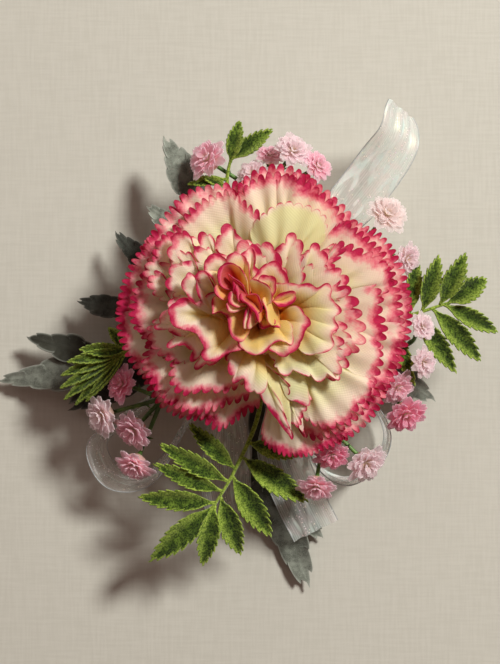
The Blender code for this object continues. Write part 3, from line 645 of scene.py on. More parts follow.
# What some petals have of their own, by layer and place in it
CHANGED = {
    (0, 0): {"tooth": 1.7, "cut": 1.4, "dye": 1.5},
    (0, 4): {"tooth": 3.0},
    (0, 5): {"tooth": 3.0},
    (0, 6): {"tooth": 2.8},
    (1, 4): {"tooth": 2.9},
    (1, 5): {"tooth": 2.9},
    (1, 6): {"ruffle": 0.15},
    (2, 0): {"dye": 0.9, "tooth": 2.2, "cut": 0.8},
    (2, 6): {"dye": 0.3, "cut": 1.5, "cup": 0.15},
    (3, 1): {"dye": 0.8, "cut": 0.4, "ruffle": 0.05, "flare": -15, "shoulders": False},
    (3, 2): {"dye": 2.2, "cut": 0.4, "ruffle": 0.05, "flare": -10, "shoulders": False},
    (3, 3): {"dye": (0.5, 2.4), "cut": 0.5, "ruffle": 0.05, "flare": -10, "shoulders": False},
    (3, 5): {"dye": 0.4},
    (3, 6): {"tooth": 4.4, "cut": 2.4, "dye": 1.6},
    (3, 7): {"tooth": 4.4, "cut": 2.4, "dye": 1.7},
    (3, 8): {"tooth": 4.4, "cut": 2.4, "dye": 1.7},
    (3, 9): {"tooth": 4.4, "cut": 2.4, "dye": 1.7},
    (3, 10): {"tooth": 4.6, "cut": 2.2, "dye": 1.5},
    (4, 1): {"dye": 0.35},
    (4, 3): {"dye": (0.35, 0.7)},
    (5, 2): {"warmth_and_shade": 0.35, "dye": 0.6},
    (5, 4): {"warmth_and_shade": 0.5},
    (5, 6): {"dye": (0.4, 1.0)},
    # Painted shade: the hood turns from gold to crimson towards its shaded left end
    (6, 0): {"warmth_and_shade": (0.3, 3.7), "dye": (0.25, 0.8)},
    (6, 1): {"warmth_and_shade": (0.25, 0.5), "dye": 0.22},
    (6, 2): {"warmth_and_shade": 1.15, "dye": (0.35, 1.0), "flare": 60, "toward": (0.7, 0.7)},
    (6, 3): {"warmth_and_shade": 0.2, "dye": 0.45},
    (6, 4): {"warmth_and_shade": 0.3},
    (6, 6): {"flare": 120, "warmth_and_shade": 0.45, "dye": 0.3, "toward": (0.96, -0.28)},
    (7, 0): {"warmth_and_shade": 1.5, "dye": 0.9},
    (7, 1): {"warmth_and_shade": 0.3, "dye": 1.0},
    (7, 2): {"warmth_and_shade": 0.1, "dye": 0.8},
    (7, 3): {"warmth_and_shade": (1.3, 1.0), "dye": (0.9, 0.5)},
    (7, 4): {"warmth_and_shade": 1.5, "dye": 0.9},
    (7, 5): {"warmth_and_shade": 1.5, "dye": 1.0},
}
# Rims of the petals, layer by layer: points of the photograph, with how far each lies over its
# layer's height in millimetres where that isn't 0
RIMS = (
    (
        ((259, 433), (267, 448), (286, 457), (308, 457), (328, 449), (346, 438)),
        ((336, 447), (352, 438), (368, 425), (381, 409), (388, 392)),
        ((384, 398), (397, 378), (405, 358), (411, 335), (413, 312), (411, 296)),
        ((413, 304), (410, 284), (403, 264), (392, 244), (378, 230), (364, 224)),
        ((372, 240), (360, 224), (346, 206), (331, 192), (316, 180), (300, 172)),
        ((312, 176), (296, 167), (278, 163), (262, 166), (247, 174), (236, 186)),
        ((246, 180), (230, 181), (214, 184), (198, 186), (184, 192), (173, 202)),
        ((178, 196), (166, 210), (155, 224), (146, 239), (141, 250)),
        ((148, 236), (136, 252), (126, 270), (119, 290), (116, 308)),
        ((117, 300), (115, 318), (118, 338), (125, 356), (136, 373), (147, 382)),
        ((140, 372), (147, 391), (159, 407), (175, 417), (192, 421), (207, 419)),
        ((196, 417), (208, 427), (219, 432), (232, 425), (248, 415), (262, 408)),
    ),
    (
        ((322, 441), (338, 434), (354, 424), (368, 410), (378, 395)),
        ((376, 402), (389, 385), (398, 366), (405, 346), (407, 330)),
        ((405, 335), (404, 315), (402, 296), (396, 276), (387, 262)),
        ((396, 272), (388, 254), (376, 242), (363, 231), (352, 224)),
        ((357, 231), (345, 214), (332, 199), (318, 187), (304, 179), (290, 174)),
        ((298, 178), (284, 172), (270, 171), (257, 176), (246, 184), (238, 195)),
        (
            (264, 213, 4), (252, 205, 3.5), (241, 197, 2.5), (229, 189, 1), (214, 193),
            (199, 200), (188, 209), (180, 220),
        ),
        ((184, 214), (172, 226), (161, 238), (150, 254), (144, 266)),
        ((150, 262), (138, 277), (131, 293), (128, 310), (130, 322)),
        ((134, 294), (133, 312), (136, 328), (143, 341), (150, 349)),
        ((146, 340), (142, 354), (141, 366), (147, 380), (155, 391), (163, 402)),
        ((158, 392), (167, 404), (181, 412), (198, 415), (214, 412), (230, 405), (250, 402)),
    ),
    (
        ((300, 428), (303, 416), (309, 407)),
        ((326, 430), (340, 427), (352, 418), (364, 404), (375, 388)),
        ((373, 390), (380, 376), (384, 362), (382, 346)),
        ((380, 354), (387, 338), (388, 326), (383, 312), (384, 298), (378, 284)),
        ((395, 282), (388, 264), (378, 254), (366, 250), (354, 244)),
        ((330, 248), (340, 240), (347, 247), (342, 257), (336, 264)),
        ((325, 214), (312, 206), (300, 203), (288, 201), (276, 204), (264, 212)),
        ((152, 250), (156, 240), (163, 234), (171, 236)),
        ((142, 272), (147, 262), (153, 256), (160, 262)),
        ((146, 283), (152, 272), (160, 270), (166, 280), (164, 289)),
        ((146, 330), (150, 345), (158, 356), (165, 360)),
        ((168, 376), (172, 390), (182, 396), (196, 394), (212, 393), (224, 394)),
    ),
    (
        ((229, 374), (232, 384), (241, 381), (247, 391), (256, 395), (270, 391)),
        (
            (257, 389, -2), (264, 403, -3), (274, 417, -4), (284, 430, -5), (291, 439, -5.5),
            (293.5, 439, -6), (291, 430, -5), (287, 419, -4), (282, 407, -3), (277, 396, -2),
        ),
        (
            (291, 412, -6), (295, 422, -6.5), (300, 432, -7), (305, 438, -7), (304, 430, -6.5),
            (299, 419, -6),
        ),
        ((288, 404, -3.5), (296, 402, -3), (304, 406, -3.5), (311, 410, -4)),
        ((279, 374, -2), (287, 381, -2), (292, 388, -2.5), (290, 395, -3)),
        (
            (275, 362), (275, 370), (286, 376), (296, 373), (306, 376), (318, 382), (329, 378),
            (340, 380),
        ),
        ((339, 380), (343, 366), (346, 352), (344, 340), (339, 333)),
        ((346, 372), (351, 358), (352, 344), (350, 331)),
        ((362, 350), (367, 338), (366, 326), (363, 314), (357, 304)),
        ((360, 310), (358, 298), (351, 288), (343, 281)),
        ((350, 289), (348, 274), (340, 268), (329, 265)),
        ((329, 271), (328, 256), (321, 245), (313, 243), (306, 253)),
        ((305, 259), (303, 243), (296, 233), (288, 234), (281, 244)),
        ((280, 256), (275, 246), (266, 241), (258, 241), (254, 246)),
        ((257, 246), (250, 240), (241, 240), (235, 246), (232, 256)),
        ((236, 233), (233, 224), (226, 223), (218, 230), (216, 240)),
        ((218, 252), (213, 238), (206, 230), (199, 233), (194, 250)),
        ((194, 246), (190, 235), (182, 229), (174, 234), (167, 250)),
        ((198, 268), (194, 258), (186, 250), (176, 250)),
        ((187, 261), (176, 262), (168, 270), (165, 284)),
        ((168, 302), (159, 318), (153, 327), (162, 331), (171, 333)),
        ((166, 346), (172, 349), (184, 345), (188, 354), (191, 362), (198, 360), (202, 350)),
        ((194, 369), (204, 368), (214, 364), (225, 357), (231, 353)),
    ),
    (
        (
            (196, 303), (186, 298), (175, 301), (168, 310), (170, 321), (178, 329), (190, 331),
            (198, 337), (203, 347), (201, 354), (205, 361), (214, 362), (223, 357), (231, 352),
        ),
        ((239, 346), (246, 352), (256, 356), (264, 353), (271, 347), (280, 341), (292, 345)),
        ((286, 357), (296, 350), (302, 342), (305, 332), (311, 324)),
        (
            (327, 352), (335, 346), (332, 336), (339, 328), (335, 319), (342, 311), (337, 303),
            (331, 297), (333, 288), (328, 283), (319, 287), (309, 283), (300, 284), (292, 283),
        ),
        ((288, 278), (283, 268), (277, 261), (267, 262), (260, 269)),
        ((255, 266), (256, 257), (252, 248), (247, 248), (240, 255)),
        ((228, 262), (223, 256), (216, 253), (206, 257), (204, 266)),
        ((214, 288), (211, 280), (206, 272), (199, 270), (195, 277)),
        ((196, 290), (195, 278), (188, 272), (181, 284)),
    ),
    (
        ((274, 298), (280, 293), (289, 290.5), (299.5, 290.5)),
        ((299.5, 294), (294.5, 302), (287, 307), (278, 307), (273, 302.5)),
        ((274, 297), (276, 289), (275.5, 278), (263, 274.5), (255.5, 279)),
        ((250.5, 276), (249, 268), (248, 261.5), (243, 255.5), (233, 258)),
        ((224, 261, 1.0), (226, 256, 1.5), (233, 252, 1.5), (240, 250, 1.0)),
        ((213, 287), (212, 280), (205.5, 272.5), (200, 270)),
        (
            (211, 294), (212, 307), (211, 314), (219, 312), (227, 318), (229.5, 333), (237, 342),
            (241, 346),
        ),
        ((256.5, 321), (262, 329), (269, 328), (275.5, 324), (279.5, 320)),
        ((257.5, 330.5, -1.5), (268.5, 327.5, -1.5), (278, 328, -1.5), (282.5, 332, -1.5)),
    ),
    (
        (
            (247.5, 277), (244.5, 273.5), (237, 265), (227, 262.5), (220, 267), (217, 277),
            (221, 286), (228, 290),
        ),
        ((273, 305), (272, 296), (271, 289.5), (266.5, 284), (258, 280.5), (248, 277)),
        ((246.5, 294), (257.5, 294), (261, 300.5), (262, 310.5), (259, 314), (258, 322)),
        ((241.5, 331.5), (244, 316), (247, 303.5)),
        ((247.5, 303), (249.5, 312), (247, 324), (245.5, 332)),
        ((213.5, 283), (215, 293), (219.5, 300.5)),
        ((260.6, 297), (264.4, 307), (267.8, 320.6), (269, 325)),
    ),
    (
        ((227, 271), (232, 276), (239, 280.5), (243, 283)),
        ((229, 289.5), (228, 300.5), (234.5, 308)),
        ((224.5, 302.5), (228, 310.5), (233, 313)),
        ((239, 291.5), (241, 299.5), (248, 305), (255.5, 314), (258, 325)),
        ((234, 283), (236, 292), (237, 302)),
        ((231, 279), (233, 285), (232, 293)),
    ),
)


def evened(values, reach):
    """The values, each averaged with so many neighbours on either side."""
    if reach < 1:
        return values
    ends = [np.repeat(values[:1], reach, axis=0), values, np.repeat(values[-1:], reach, axis=0)]
    padded = np.concatenate(ends)
    kernel = np.hanning(2 * reach + 3)[1:-1]
    kernel /= kernel.sum()
    columns = [np.convolve(padded[:, k], kernel, mode="valid") for k in range(values.shape[1])]
    return np.stack(columns, axis=1)


def rim_distance(flat, outline):
    """How far each point of a flat pattern lies from its outline."""
    a, b = outline[:-1], outline[1:]
    step = b - a
    size = np.maximum((step**2).sum(axis=1), 1e-9)
    best = np.full(len(flat), 1e9)
    for k in range(len(a)):
        away = flat - a[k]
        share = np.clip(away @ step[k] / size[k], 0.0, 1.0)
        best = np.minimum(best, ((away - share[:, None] * step[k]) ** 2).sum(axis=1))
    return np.sqrt(best)


def near(points, place):
    """Whether points lie within an angle's half width of it, seen from the core."""
    angle, half = place
    away = np.degrees(np.arctan2(points[..., 1], points[..., 0])) - angle
    return np.abs((away + 180.0) % 360.0 - 180.0) < half


def between(ends, share):
    """A style's value along the rim: one for all of it, or one for each end."""
    first, last = np.broadcast_to(ends, 2)
    return first + (last - first) * share


def shoulder(point, middle, reaches):
    """Two points beyond the end of a rim, aside of it, further in and lower."""
    if near(point, GAP):
        return []
    inward = -unit(point * LEVEL)
    away = (point - middle) * LEVEL
    aside = unit(away - inward * (away @ inward))
    return [point + aside * a + inward * b - UPRIGHT * c for a, b, c in reaches]


def petal_rim(layer, place, style):
    """A petal's rim: its points, how far along it they lie, its length and number of teeth."""
    height = LAYER_HEIGHTS[layer]
    points = [at_pixel(x, y, height + sum(over)) for x, y, *over in RIMS[layer][place]]
    if layer <= max(SHOULDERED) and style.get("shoulders", True):
        middle = np.mean(points, axis=0)
        reaches = SHOULDERS if layer in SHOULDERED else LOW_SHOULDERS
        before = shoulder(points[0], middle, reaches)[::-1]
        points = before + points + shoulder(points[-1], middle, reaches)
    _, length = smooth_curve(points, 2)
    teeth = max(1, round(length / style["tooth"]))
    for_each = max(6, round(length / teeth / COLUMN_PITCH), math.ceil(LEAST_COLUMNS / teeth))
    edge, _ = smooth_curve(points, teeth * for_each + 1)
    share = np.linspace(0.0, 1.0, len(edge))
    edge[:, 2] += PETAL_TILT[layer] * (2.0 * share - 1.0)
    return edge, share, length, teeth


def petal_foot(layer, edge, share):
    """Where the petal's meridians start on the core, and which way."""
    first, last = np.arctan2(edge[0, 1], edge[0, 0]), np.arctan2(edge[-1, 1], edge[-1, 0])
    spread = (last - first + math.pi) % math.tau - math.pi
    rooted = math.copysign(max(0.5 * abs(spread), LEAST_ROOT), spread)
    azimuth = first + 0.5 * spread + rooted * (share - 0.5)
    round_way = stacked(np.cos(azimuth), np.sin(azimuth), 0.0)
    angle, rise = math.radians(ROOT_ANGLES[layer]), math.radians(RISES[layer])
    way = round_way * math.cos(angle) + UPRIGHT * math.sin(angle)
    root = CORE_HEIGHT * UPRIGHT + ROOT_RADIUS * way
    return root, round_way * math.cos(rise) + UPRIGHT * math.sin(rise)


def flared(layer, edge, root, share, length, style, draw):
    """The rim, drooped and ruffled, and the way in which the petal runs into it."""
    pitch = length / (len(edge) - 1)
    along = unit(evened(np.gradient(edge, axis=0), round(RIM_AVERAGE / pitch)))
    local = unit(stacked(along[:, 1], -along[:, 0], 0.0))
    radial = unit((edge - root) * LEVEL)
    if "toward" in style:
        radial = np.tile(np.array([*style["toward"], 0.0]), (len(edge), 1))
    if (local * radial).sum() < 0:
        local = -local
    plan = unit(0.65 * radial + 0.35 * local)
    bulge = ((edge - evened(edge, round(BULGE_AVERAGE / pitch))) * plan).sum(axis=1)
    bulge = np.clip(bulge, -MOST_BULGE, MOST_BULGE)
    edge[:, 2] -= DROOPS[layer] * bulge
    ruffle, ruffle_length = style["ruffle"], style["ruffle_length"]
    waves = max(1.0, round(length / ruffle_length))
    turn = math.tau * (waves * share + draw.random())
    sway = RUFFLE_SWAY * ruffle / ruffle_length * np.sin(turn)
    lift = np.radians(style["flare"] + draw.uniform(-4, 6) + sway - RIM_SAG * bulge)[:, None]
    out = plan * np.cos(lift) + UPRIGHT * np.sin(lift)
    normal = UPRIGHT * np.cos(lift) - plan * np.sin(lift)
    return edge + normal * (ruffle * np.sin(turn + 1.1))[:, None], out


def meridians(root, root_way, edge, out):
    """Curves from the core to the rim, and how far along them their points lie."""
    reach = np.linalg.norm(edge - root, axis=1, keepdims=True)
    controls = [root, root + FOOT_PULL * reach * root_way, edge - RIM_PULL * reach * out, edge]
    t = np.linspace(0.0, 1.0, MERIDIAN_STEPS)[:, None, None]
    a, b, c, d = [p[None] for p in controls]
    paths = a * (1 - t) ** 3 + 3 * b * t * (1 - t) ** 2 + 3 * c * t**2 * (1 - t) + d * t**3
    steps = np.linalg.norm(np.diff(paths, axis=0), axis=2)
    return paths, np.concatenate([np.zeros((1, len(edge))), np.cumsum(steps, axis=0)])


def toothed_rows(layer, total, share, teeth, inset, style, draw):
    """How far along its meridian each point of the sheet lies, and where in its tooth, -1 to 1."""
    phase = (share * teeth) % 1.0 * 2.0 - 1.0
    phase[-1] = -1.0
    which = np.minimum((share * teeth).astype(int), teeth - 1)
    depths = style["cut"] * draw.uniform(0.75, 1.2, teeth)
    notch = depths[which] * np.abs(phase) ** style["blunt"]
    outside = 1.0 - np.minimum(inset / 3.0, 1.0)
    corner = CORNERS[layer] * (1.0 - np.sqrt(np.clip(1.0 - outside**2, 0.0, 1.0)))
    margin = style["cut"] * 1.2 + CORNERS[layer] + 1.0
    inner = INNER_ROWS[:, None] * (total - margin)[None]
    outer = (total - margin)[None] + OUTER_ROWS[:, None] * (margin - notch - corner)[None]
    return np.concatenate([inner, outer]), phase


def dyed(layer, grid, edge, rows, total, share, length, inset, style, draw):
    """What the satin's finish reads: the dye's bands and depth, and the flat pattern and how golden it
    is, the amber and ember of its higher values painting shade.
    """
    scale = np.interp(rows / total[None], (0.0, 1.0), (0.3, 1.0))
    flat = np.stack([(share[None] - 0.5) * length * scale, rows], axis=-1)
    outline = np.concatenate([flat[:, 0], flat[-1], flat[::-1, -1]])
    distance = rim_distance(flat.reshape(-1, 2), outline).reshape(rows.shape)
    dye = between(style["dye"], share[None]) * draw.uniform(0.75, 1.3)
    if layer == DARK_SIDE_LAYER:
        dye = dye * (1.0 + 0.3 * ramp(near(edge, DARK_SIDE).mean(), 0.0, 0.6))
    if layer in SHOULDERED:
        dye = dye * (0.4 + 0.6 * ramp(inset, 3.0, 9.0))[None]
    band = (total[None] - rows) / dye
    marks = stacked(band, distance / np.minimum(dye, 1.0), 1.0 - rows / total[None])
    shift = draw.uniform(0, 50, 2)
    away = np.linalg.norm((grid - at_pixel(*GOLDEN_AT, LAYER_HEIGHTS[layer]))[..., :2], axis=-1)
    # Gold of the satin and, where high, painted shade in amber and ember
    warm = between(style["warmth_and_shade"], share[None]) + GOLDEN * ramp(away, *GOLDEN_REACH)
    return marks, stacked(flat[..., 0] + shift[0], flat[..., 1] + shift[1], warm)


def petal(pieces, layer, place, draw):
    """One petal: a sheet from the core to its rim, flared, ruffled and toothed there."""
    style = dict(zip(STYLE_NAMES, STYLES[layer])) | CHANGED.get((layer, place), {})
    edge, share, length, teeth = petal_rim(layer, place, style)
    root, root_way = petal_foot(layer, edge, share)
    edge, out = flared(layer, edge, root, share, length, style, draw)
    paths, run = meridians(root, root_way, edge, out)
    total = run[-1]
    inset = np.minimum(share, 1.0 - share) * length
    rows, phase = toothed_rows(layer, total, share, teeth, inset, style, draw)
    grid = np.empty((*rows.shape, 3))
    for k in range(len(share)):
        grid[:, k] = spread_over(rows[:, k], run[:, k], paths[:, k])

    # Each tooth is cupped, and the cup runs inwards as a shallow flute
    flute = style["cup"] * (1.0 - phase**2)[None] * ramp(total[None] - rows, FLUTE_LENGTH, 0.0)
    grid = grid + sheet_normals(grid) * flute[..., None]
    marks, cloth = dyed(layer, grid, edge, rows, total, share, length, inset, style, draw)
    pieces.sheet(grid, PETAL_SHEET, marks, cloth)


def bloom(finish):
    """The petal layers and the heart."""
    names = [f"petal_layer_{k}" for k in range(1, 8)] + ["petal_heart"]
    for layer, (name, rims) in enumerate(zip(names, RIMS)):
        pieces = Pieces()
        draw = np.random.default_rng(100 + layer)
        for place in range(len(rims)):
            petal(pieces, layer, place, draw)
        pieces.build(f"satin_{name}", finish, name)


# Leaves

BUNDLE_RADIUS = 10.3
LOW_ROOT = 20.0
HIGH_ROOT = 21.6
LEAF_ROWS = 13  # points across a leaf
STALK = 0.45  # half width of a stalk, and the least of a blade
# How a kind of leaf is cut and bent: share of it that is stalk, depth of its teeth or lobes, how
# far they lean to the tip and how far its sides fold up, all as shares, its thickness, whether
# its edge has round lobes, and how far it curls
LeafStyle = namedtuple("LeafStyle", "neck cut sweep rise thickness lobed wave")


def at_bundle(angle, height):
    """A point beside the bundle, where a stem enters the tape."""
    turn = math.radians(angle)
    return np.array([BUNDLE_RADIUS * math.cos(turn), BUNDLE_RADIUS * math.sin(turn), height])


def leaf_side(style, hand, half_width, teeth, out, length, draw):
    """One side of a leaf: half widths along it, and how far its teeth reach towards the tip."""
    blade = np.clip((out - style.neck) / (1.0 - style.neck), 0.0, 1.0)
    place = (blade + 0.35 * hand / teeth + draw.uniform(-0.1, 0.1) / teeth) * teeth
    phase = place % 1.0
    size = draw.uniform(0.75, 1.2, teeth + 2)[np.clip(place.astype(int) + 1, 0, teeth + 1)]
    if style.lobed:
        bulge = np.sin(math.pi * np.clip(0.12 + 0.88 * blade, 0.0, 1.0) ** 0.95) ** 0.6
        lobe = np.abs(np.sin(math.pi * phase)) ** 0.6
        swell = 0.14 * np.sin(math.tau * 1.7 * blade + draw.uniform(0.0, math.tau))
        full = 1.0 - style.cut * size * (1.0 - lobe) + swell
    else:
        bulge = np.sin(math.pi * (0.05 + 0.95 * blade) ** 0.82) ** 0.8
        full = 1.0 - style.cut * size * (1.0 - ramp(phase, 0.0, 0.75))
        full = full - style.cut * 0.6 * ramp(phase, 0.85, 1.0)
    half = np.maximum(STALK, half_width * full * bulge)
    half = np.where(out < style.neck, STALK, half) * (1.0 - 0.8 * ramp(out, 0.985, 1.0))
    reach = size * ramp(phase, 0.2, 0.8) * (1.0 - ramp(phase, 0.88, 1.0))
    return half, reach * style.sweep * length / teeth


def leaf(pieces, route, half_width, teeth, style, draw, tilt=0.0, shade_lift=1.0):
    """A leaf with a toothed or lobed edge along a curve of three points, marked so that its finish can
    paint shade near the stem that lifts towards its tip.
    """
    neck = style.neck
    out = np.concatenate([[0.0, neck * 0.5], np.linspace(neck, 1.0, teeth * 10 + 5)])
    centre = bezier(route, out)
    along = unit(np.gradient(centre, axis=0))
    across = unit(np.cross(along, UPRIGHT))
    up = np.cross(across, along)
    cos, sin = math.cos(math.radians(tilt)), math.sin(math.radians(tilt))
    across, up = across * cos + up * sin, up * cos - across * sin
    length = np.linalg.norm(np.diff(centre, axis=0), axis=1).sum()
    hands = [leaf_side(style, hand, half_width, teeth, out, length, draw) for hand in (-1, 1)]
    side = np.linspace(-1.0, 1.0, LEAF_ROWS)
    far = np.abs(side)[None]
    half, tooth = [np.where(side > 0, right[:, None], left[:, None]) for left, right in zip(*hands)]
    blade = np.clip((out - neck) / (1.0 - neck), 0.0, 1.0)
    turn = math.tau * (1.3 * blade + draw.random())
    curl = style.wave * half_width * np.sin(turn) * ramp(blade, 1.0, 0.7)
    grid = centre[:, None] + across[:, None] * (half * side)[..., None]
    grid = grid + along[:, None] * (tooth * far**2)[..., None]
    fold = style.rise * half * far**1.2 + curl[:, None] * side * far
    grid = grid + up[:, None] * fold[..., None]
    spine = 0.7 + 0.9 * np.exp(-((half * side / STALK) ** 2)) + 0.15 * (far < 0.9)
    marks = stacked(side, half * (1.0 - far), shade_lift * out[:, None])
    pieces.sheet(grid, style.thickness * spine, marks, grid + draw.uniform(0, 30, 3))


DUSTY_STYLE = LeafStyle(0.28, 0.32, 0.30, 0.20, 0.5, True, 0.20)
DUSTY_LOBES = 8
# Angle at the bundle, the middle and end of the leaf's curve, half width, and tilt in degrees
DUSTY_LEAVES = {
    "far_left": (192, (-46, -19, 14.5), (-84.5, -21.9, 3.5), 5.6, 0),
    "upper_left": (121, (-22, 38, 22), (-30.2, 54.0, 15), 5.0, -15),
    "upper_left_low": (139, (-25, 26, 19), (-35.5, 33.0, 15), 3.8, 0),
    "left": (157, (-36, 11, 18), (-46.0, 25.0, 10), 3.8, 10),
    "left_dark": (177, (-42, 0, 21), (-58.2, 3.5, 8), 3.8, 0),
    "bottom": (-97, (-2, -52, 0), (14.8, -87.9, 2.5), 7.0, 0),
    "right": (-25, (34, -13, 17), (54.7, -27.7, 6), 6.0, 0),
    "lower_left": (205, (-40, -18, 10), (-61.0, -30.5, 4), 5.5, 0),
}
SHADED_LEAVES = ("left_dark", "left", "lower_left")  # leaves painted a darker, browner grey as shade, where the bloom's shadow falls on them
SIDE_STYLE = LeafStyle(0.05, 0.34, 0.30, 0.18, 0.5, True, 0.16)
SIDE_LOBES = 5
SIDE_ARCH = 0.6
# Side lobes: share of the leaf where one starts, its tip, half width, and how far the painted shade
# near the stem lifts along it
DUSTY_SIDE_LOBES = {
    "far_left": ((0.50, (-74.6, -8.0, 7.5), 4.4, 0.4), (0.5, (-62.0, -29.0, 6.0), 2.6, 0.4)),
    "bottom": ((0.55, (19.5, -73.0, 2.5), 3.6, 0.9), (0.5, (4.0, -70.0, 1.5), 3.4, 0.9)),
}


def leaves(finish, shaded_finish):
    """The dusty miller leaves."""
    for place, (angle, bend, tip, half_width, tilt) in DUSTY_LEAVES.items():
        pieces = Pieces()
        draw = np.random.default_rng(len(place))
        route = [at_bundle(angle, LOW_ROOT), bend, tip]
        leaf(pieces, route, half_width, DUSTY_LOBES, DUSTY_STYLE, draw, tilt)
        for share, end, reach, shade_lift in DUSTY_SIDE_LOBES.get(place, ()):
            start = bezier(route, [share])[0]
            middle = (start + np.array(end, float)) / 2 + SIDE_ARCH * UPRIGHT
            leaf(pieces, [start, middle, end], reach, SIDE_LOBES, SIDE_STYLE, draw, shade_lift=shade_lift)
        # Painted shade: the leaves in the bloom's shadow take the darkened velvet
        velvet = shaded_finish if place in SHADED_LEAVES else finish
        pieces.build(f"velvet_leaf_{place}", velvet, f"dusty_leaf_{place}")


FERN_STYLE = LeafStyle(0.12, 0.24, 0.45, 0.50, 0.5, False, 0.05)
FOLDED_STYLE = LeafStyle(0.12, 0.10, 0.25, 0.75, 0.5, False, 0.05)
FERN_TEETH = 8
LEAFLET_SHARES = {"bottom": 0.98, "right": 0.92, "left": 0.70, "top": 0.92}  # slimness of the blades
LEAFLET_ARCH = 2.0
RACHIS = (0.9, 0.45)  # radii of the midrib at its ends
RACHIS_STEPS, RACHIS_SIDES = 61, 8
# Angle at the bundle, the midrib's further points, and the leaflets: share of the midrib where
# one starts, its tip and half width
FERNS = {
    "bottom": (
        -91,
        ((-1, -31, 22), (-8.4, -48.9, 24), (-15.2, -60.5, 24)),
        (
            (0.50, (11.5, -44.5, 22), 3.1),
            (0.58, (13.5, -58.8, 20), 4.1),
            (0.66, (-22.0, -35.0, 25), 3.0),
            (0.71, (2.4, -69.5, 20), 4.1),
            (0.76, (-31.0, -41.0, 26), 3.2),
            (0.85, (-32.6, -47.2, 25.5), 3.0),
            (0.89, (-6.9, -75.3, 20), 3.8),
            (0.955, (-37.7, -57.2, 24), 3.4),
            (0.97, (-18.4, -78.3, 22), 3.5),
            (0.985, (-34.2, -76.8, 22), 4.1),
        ),
    ),
    "right": (
        -3,
        ((28, -1.5, 23), (43, -1.5, 25), (57.6, 2.8, 26)),
        (
            (0.56, (46.8, -22.0, 24), 2.8),
            (0.72, (47.8, 16.5, 23), 2.8),
            (0.76, (60.0, -18.4, 21), 3.5),
            (0.81, (54.0, 16.6, 27), 3.4),
            (0.88, (67.7, -14.9, 21), 3.7),
            (0.93, (62.0, 17.3, 28), 3.6),
            (0.96, (72.7, -6.1, 22), 3.2),
            (0.985, (68.7, 10.0, 26), 4.0),
        ),
    ),
    "left": (
        199,
        ((-30, -8, 23), (-37.5, -10.5, 24), (-43.0, -12.5, 24)),
        (
            (0.84, (-47.3, -5.0, 24.5), 2.8),
            (0.90, (-56.2, -11.6, 23.5), 3.2),
            (0.94, (-62.3, -19.6, 20), 3.0),
            (0.97, (-61.6, -27.0, 18.5), 2.8),
            (0.95, (-58.4, -28.8, 17.5), 2.6),
        ),
    ),
    "top": (
        106,
        ((-9, 28, 22.5), (-10.8, 40, 24.5), (-9.6, 47.4, 25.5)),
        (
            (0.70, (-22.5, 39.4, 25), 1.8),
            (0.93, (-7.0, 58.2, 27), 2.8),
            (0.97, (2.7, 55.6, 27), 3.0),
        ),
    ),
}
# Leaflets that lie beside those of the folded sprays
FOLDED_LEAFLETS = {
    "left": (
        (0.80, (-44.4, -6.6, 25.0), 2.4),
        (0.92, (-60.0, -15.4, 22.5), 3.0),
        (0.96, (-62.8, -23.6, 19.5), 2.8),
        (0.90, (-54.8, -27.6, 19.0), 2.4),
    ),
    "top": (
        (0.50, (-17.4, 36.4, 26.0), 1.5),
        (0.62, (-18.5, 41.4, 26.5), 1.5),
        (0.45, (-13.6, 33.6, 26.5), 1.3),
    ),
}


def ferns(finish):
    """The fern sprays."""
    for place, (angle, bends, leaflets) in FERNS.items():
        pieces = Pieces()
        draw = np.random.default_rng(40 + len(place))
        route, _ = smooth_curve([at_bundle(angle, HIGH_ROOT), *bends], RACHIS_STEPS, even=False)
        pieces.tube(route, np.linspace(*RACHIS, RACHIS_STEPS), RACHIS_SIDES)
        style = FOLDED_STYLE if place == "left" else FERN_STYLE
        for share, tip, half_width in leaflets + FOLDED_LEAFLETS.get(place, ()):
            root = spread_over([share * (RACHIS_STEPS - 1)], np.arange(RACHIS_STEPS), route)[0]
            tip = np.array(tip, float)
            bend = (root + tip) / 2 + LEAFLET_ARCH * UPRIGHT
            leaf(pieces, [root, bend, tip], half_width * LEAFLET_SHARES[place], FERN_TEETH, style, draw)
        pieces.build(f"flocked_fern_{place}", finish, f"fern_{place}")


# Florets

FLORET_RADIUS = 6.3
FLORET_DEPTH = 7.0
FLORET_MIDDLE = 0.6
FLORET_RISE = 0.9
BELL_HEIGHTS = np.array([0.0, 0.08, 0.2, 0.34, 0.5])[:, None]
BELL_RADII = np.array([0.14, 0.26, 0.42, 0.53, 0.62])[:, None]
BELL_SIDES = 29
BELL_SHEET = 0.25
# Whorls of a floret: number of petals, radius and height at their roots and at their tips, as
# shares of the floret's, and width of a petal
WHORLS = (
    (9, 0.10, 0.44, 1.00, 0.52, 3.8),
    (8, 0.10, 0.47, 0.84, 0.64, 3.4),
    (6, 0.08, 0.50, 0.62, 0.76, 3.0),
    (4, 0.05, 0.54, 0.34, 0.86, 2.2),
)
FLORET_STEPS = 9
FLORET_SHEET = 0.2
STEM_NECK = 1.2
BRANCH_SAG = 0.6
BRANCH_REACH = 0.35
BRACT_SHARES = (0.35, 0.7)  # where small bracts grow on a branch
STEM_SIDES = 8
STEM_RADII, BRANCH_RADII = (0.8, 0.55), (0.75, 0.6)
CUP_SIDES, CUP_RADII = 10, np.array([0.5, 0.75, 1.0, 1.15])
BRACT_SIDES, BRACT_RADII = 6, np.array([0.35, 0.3, 0.05])
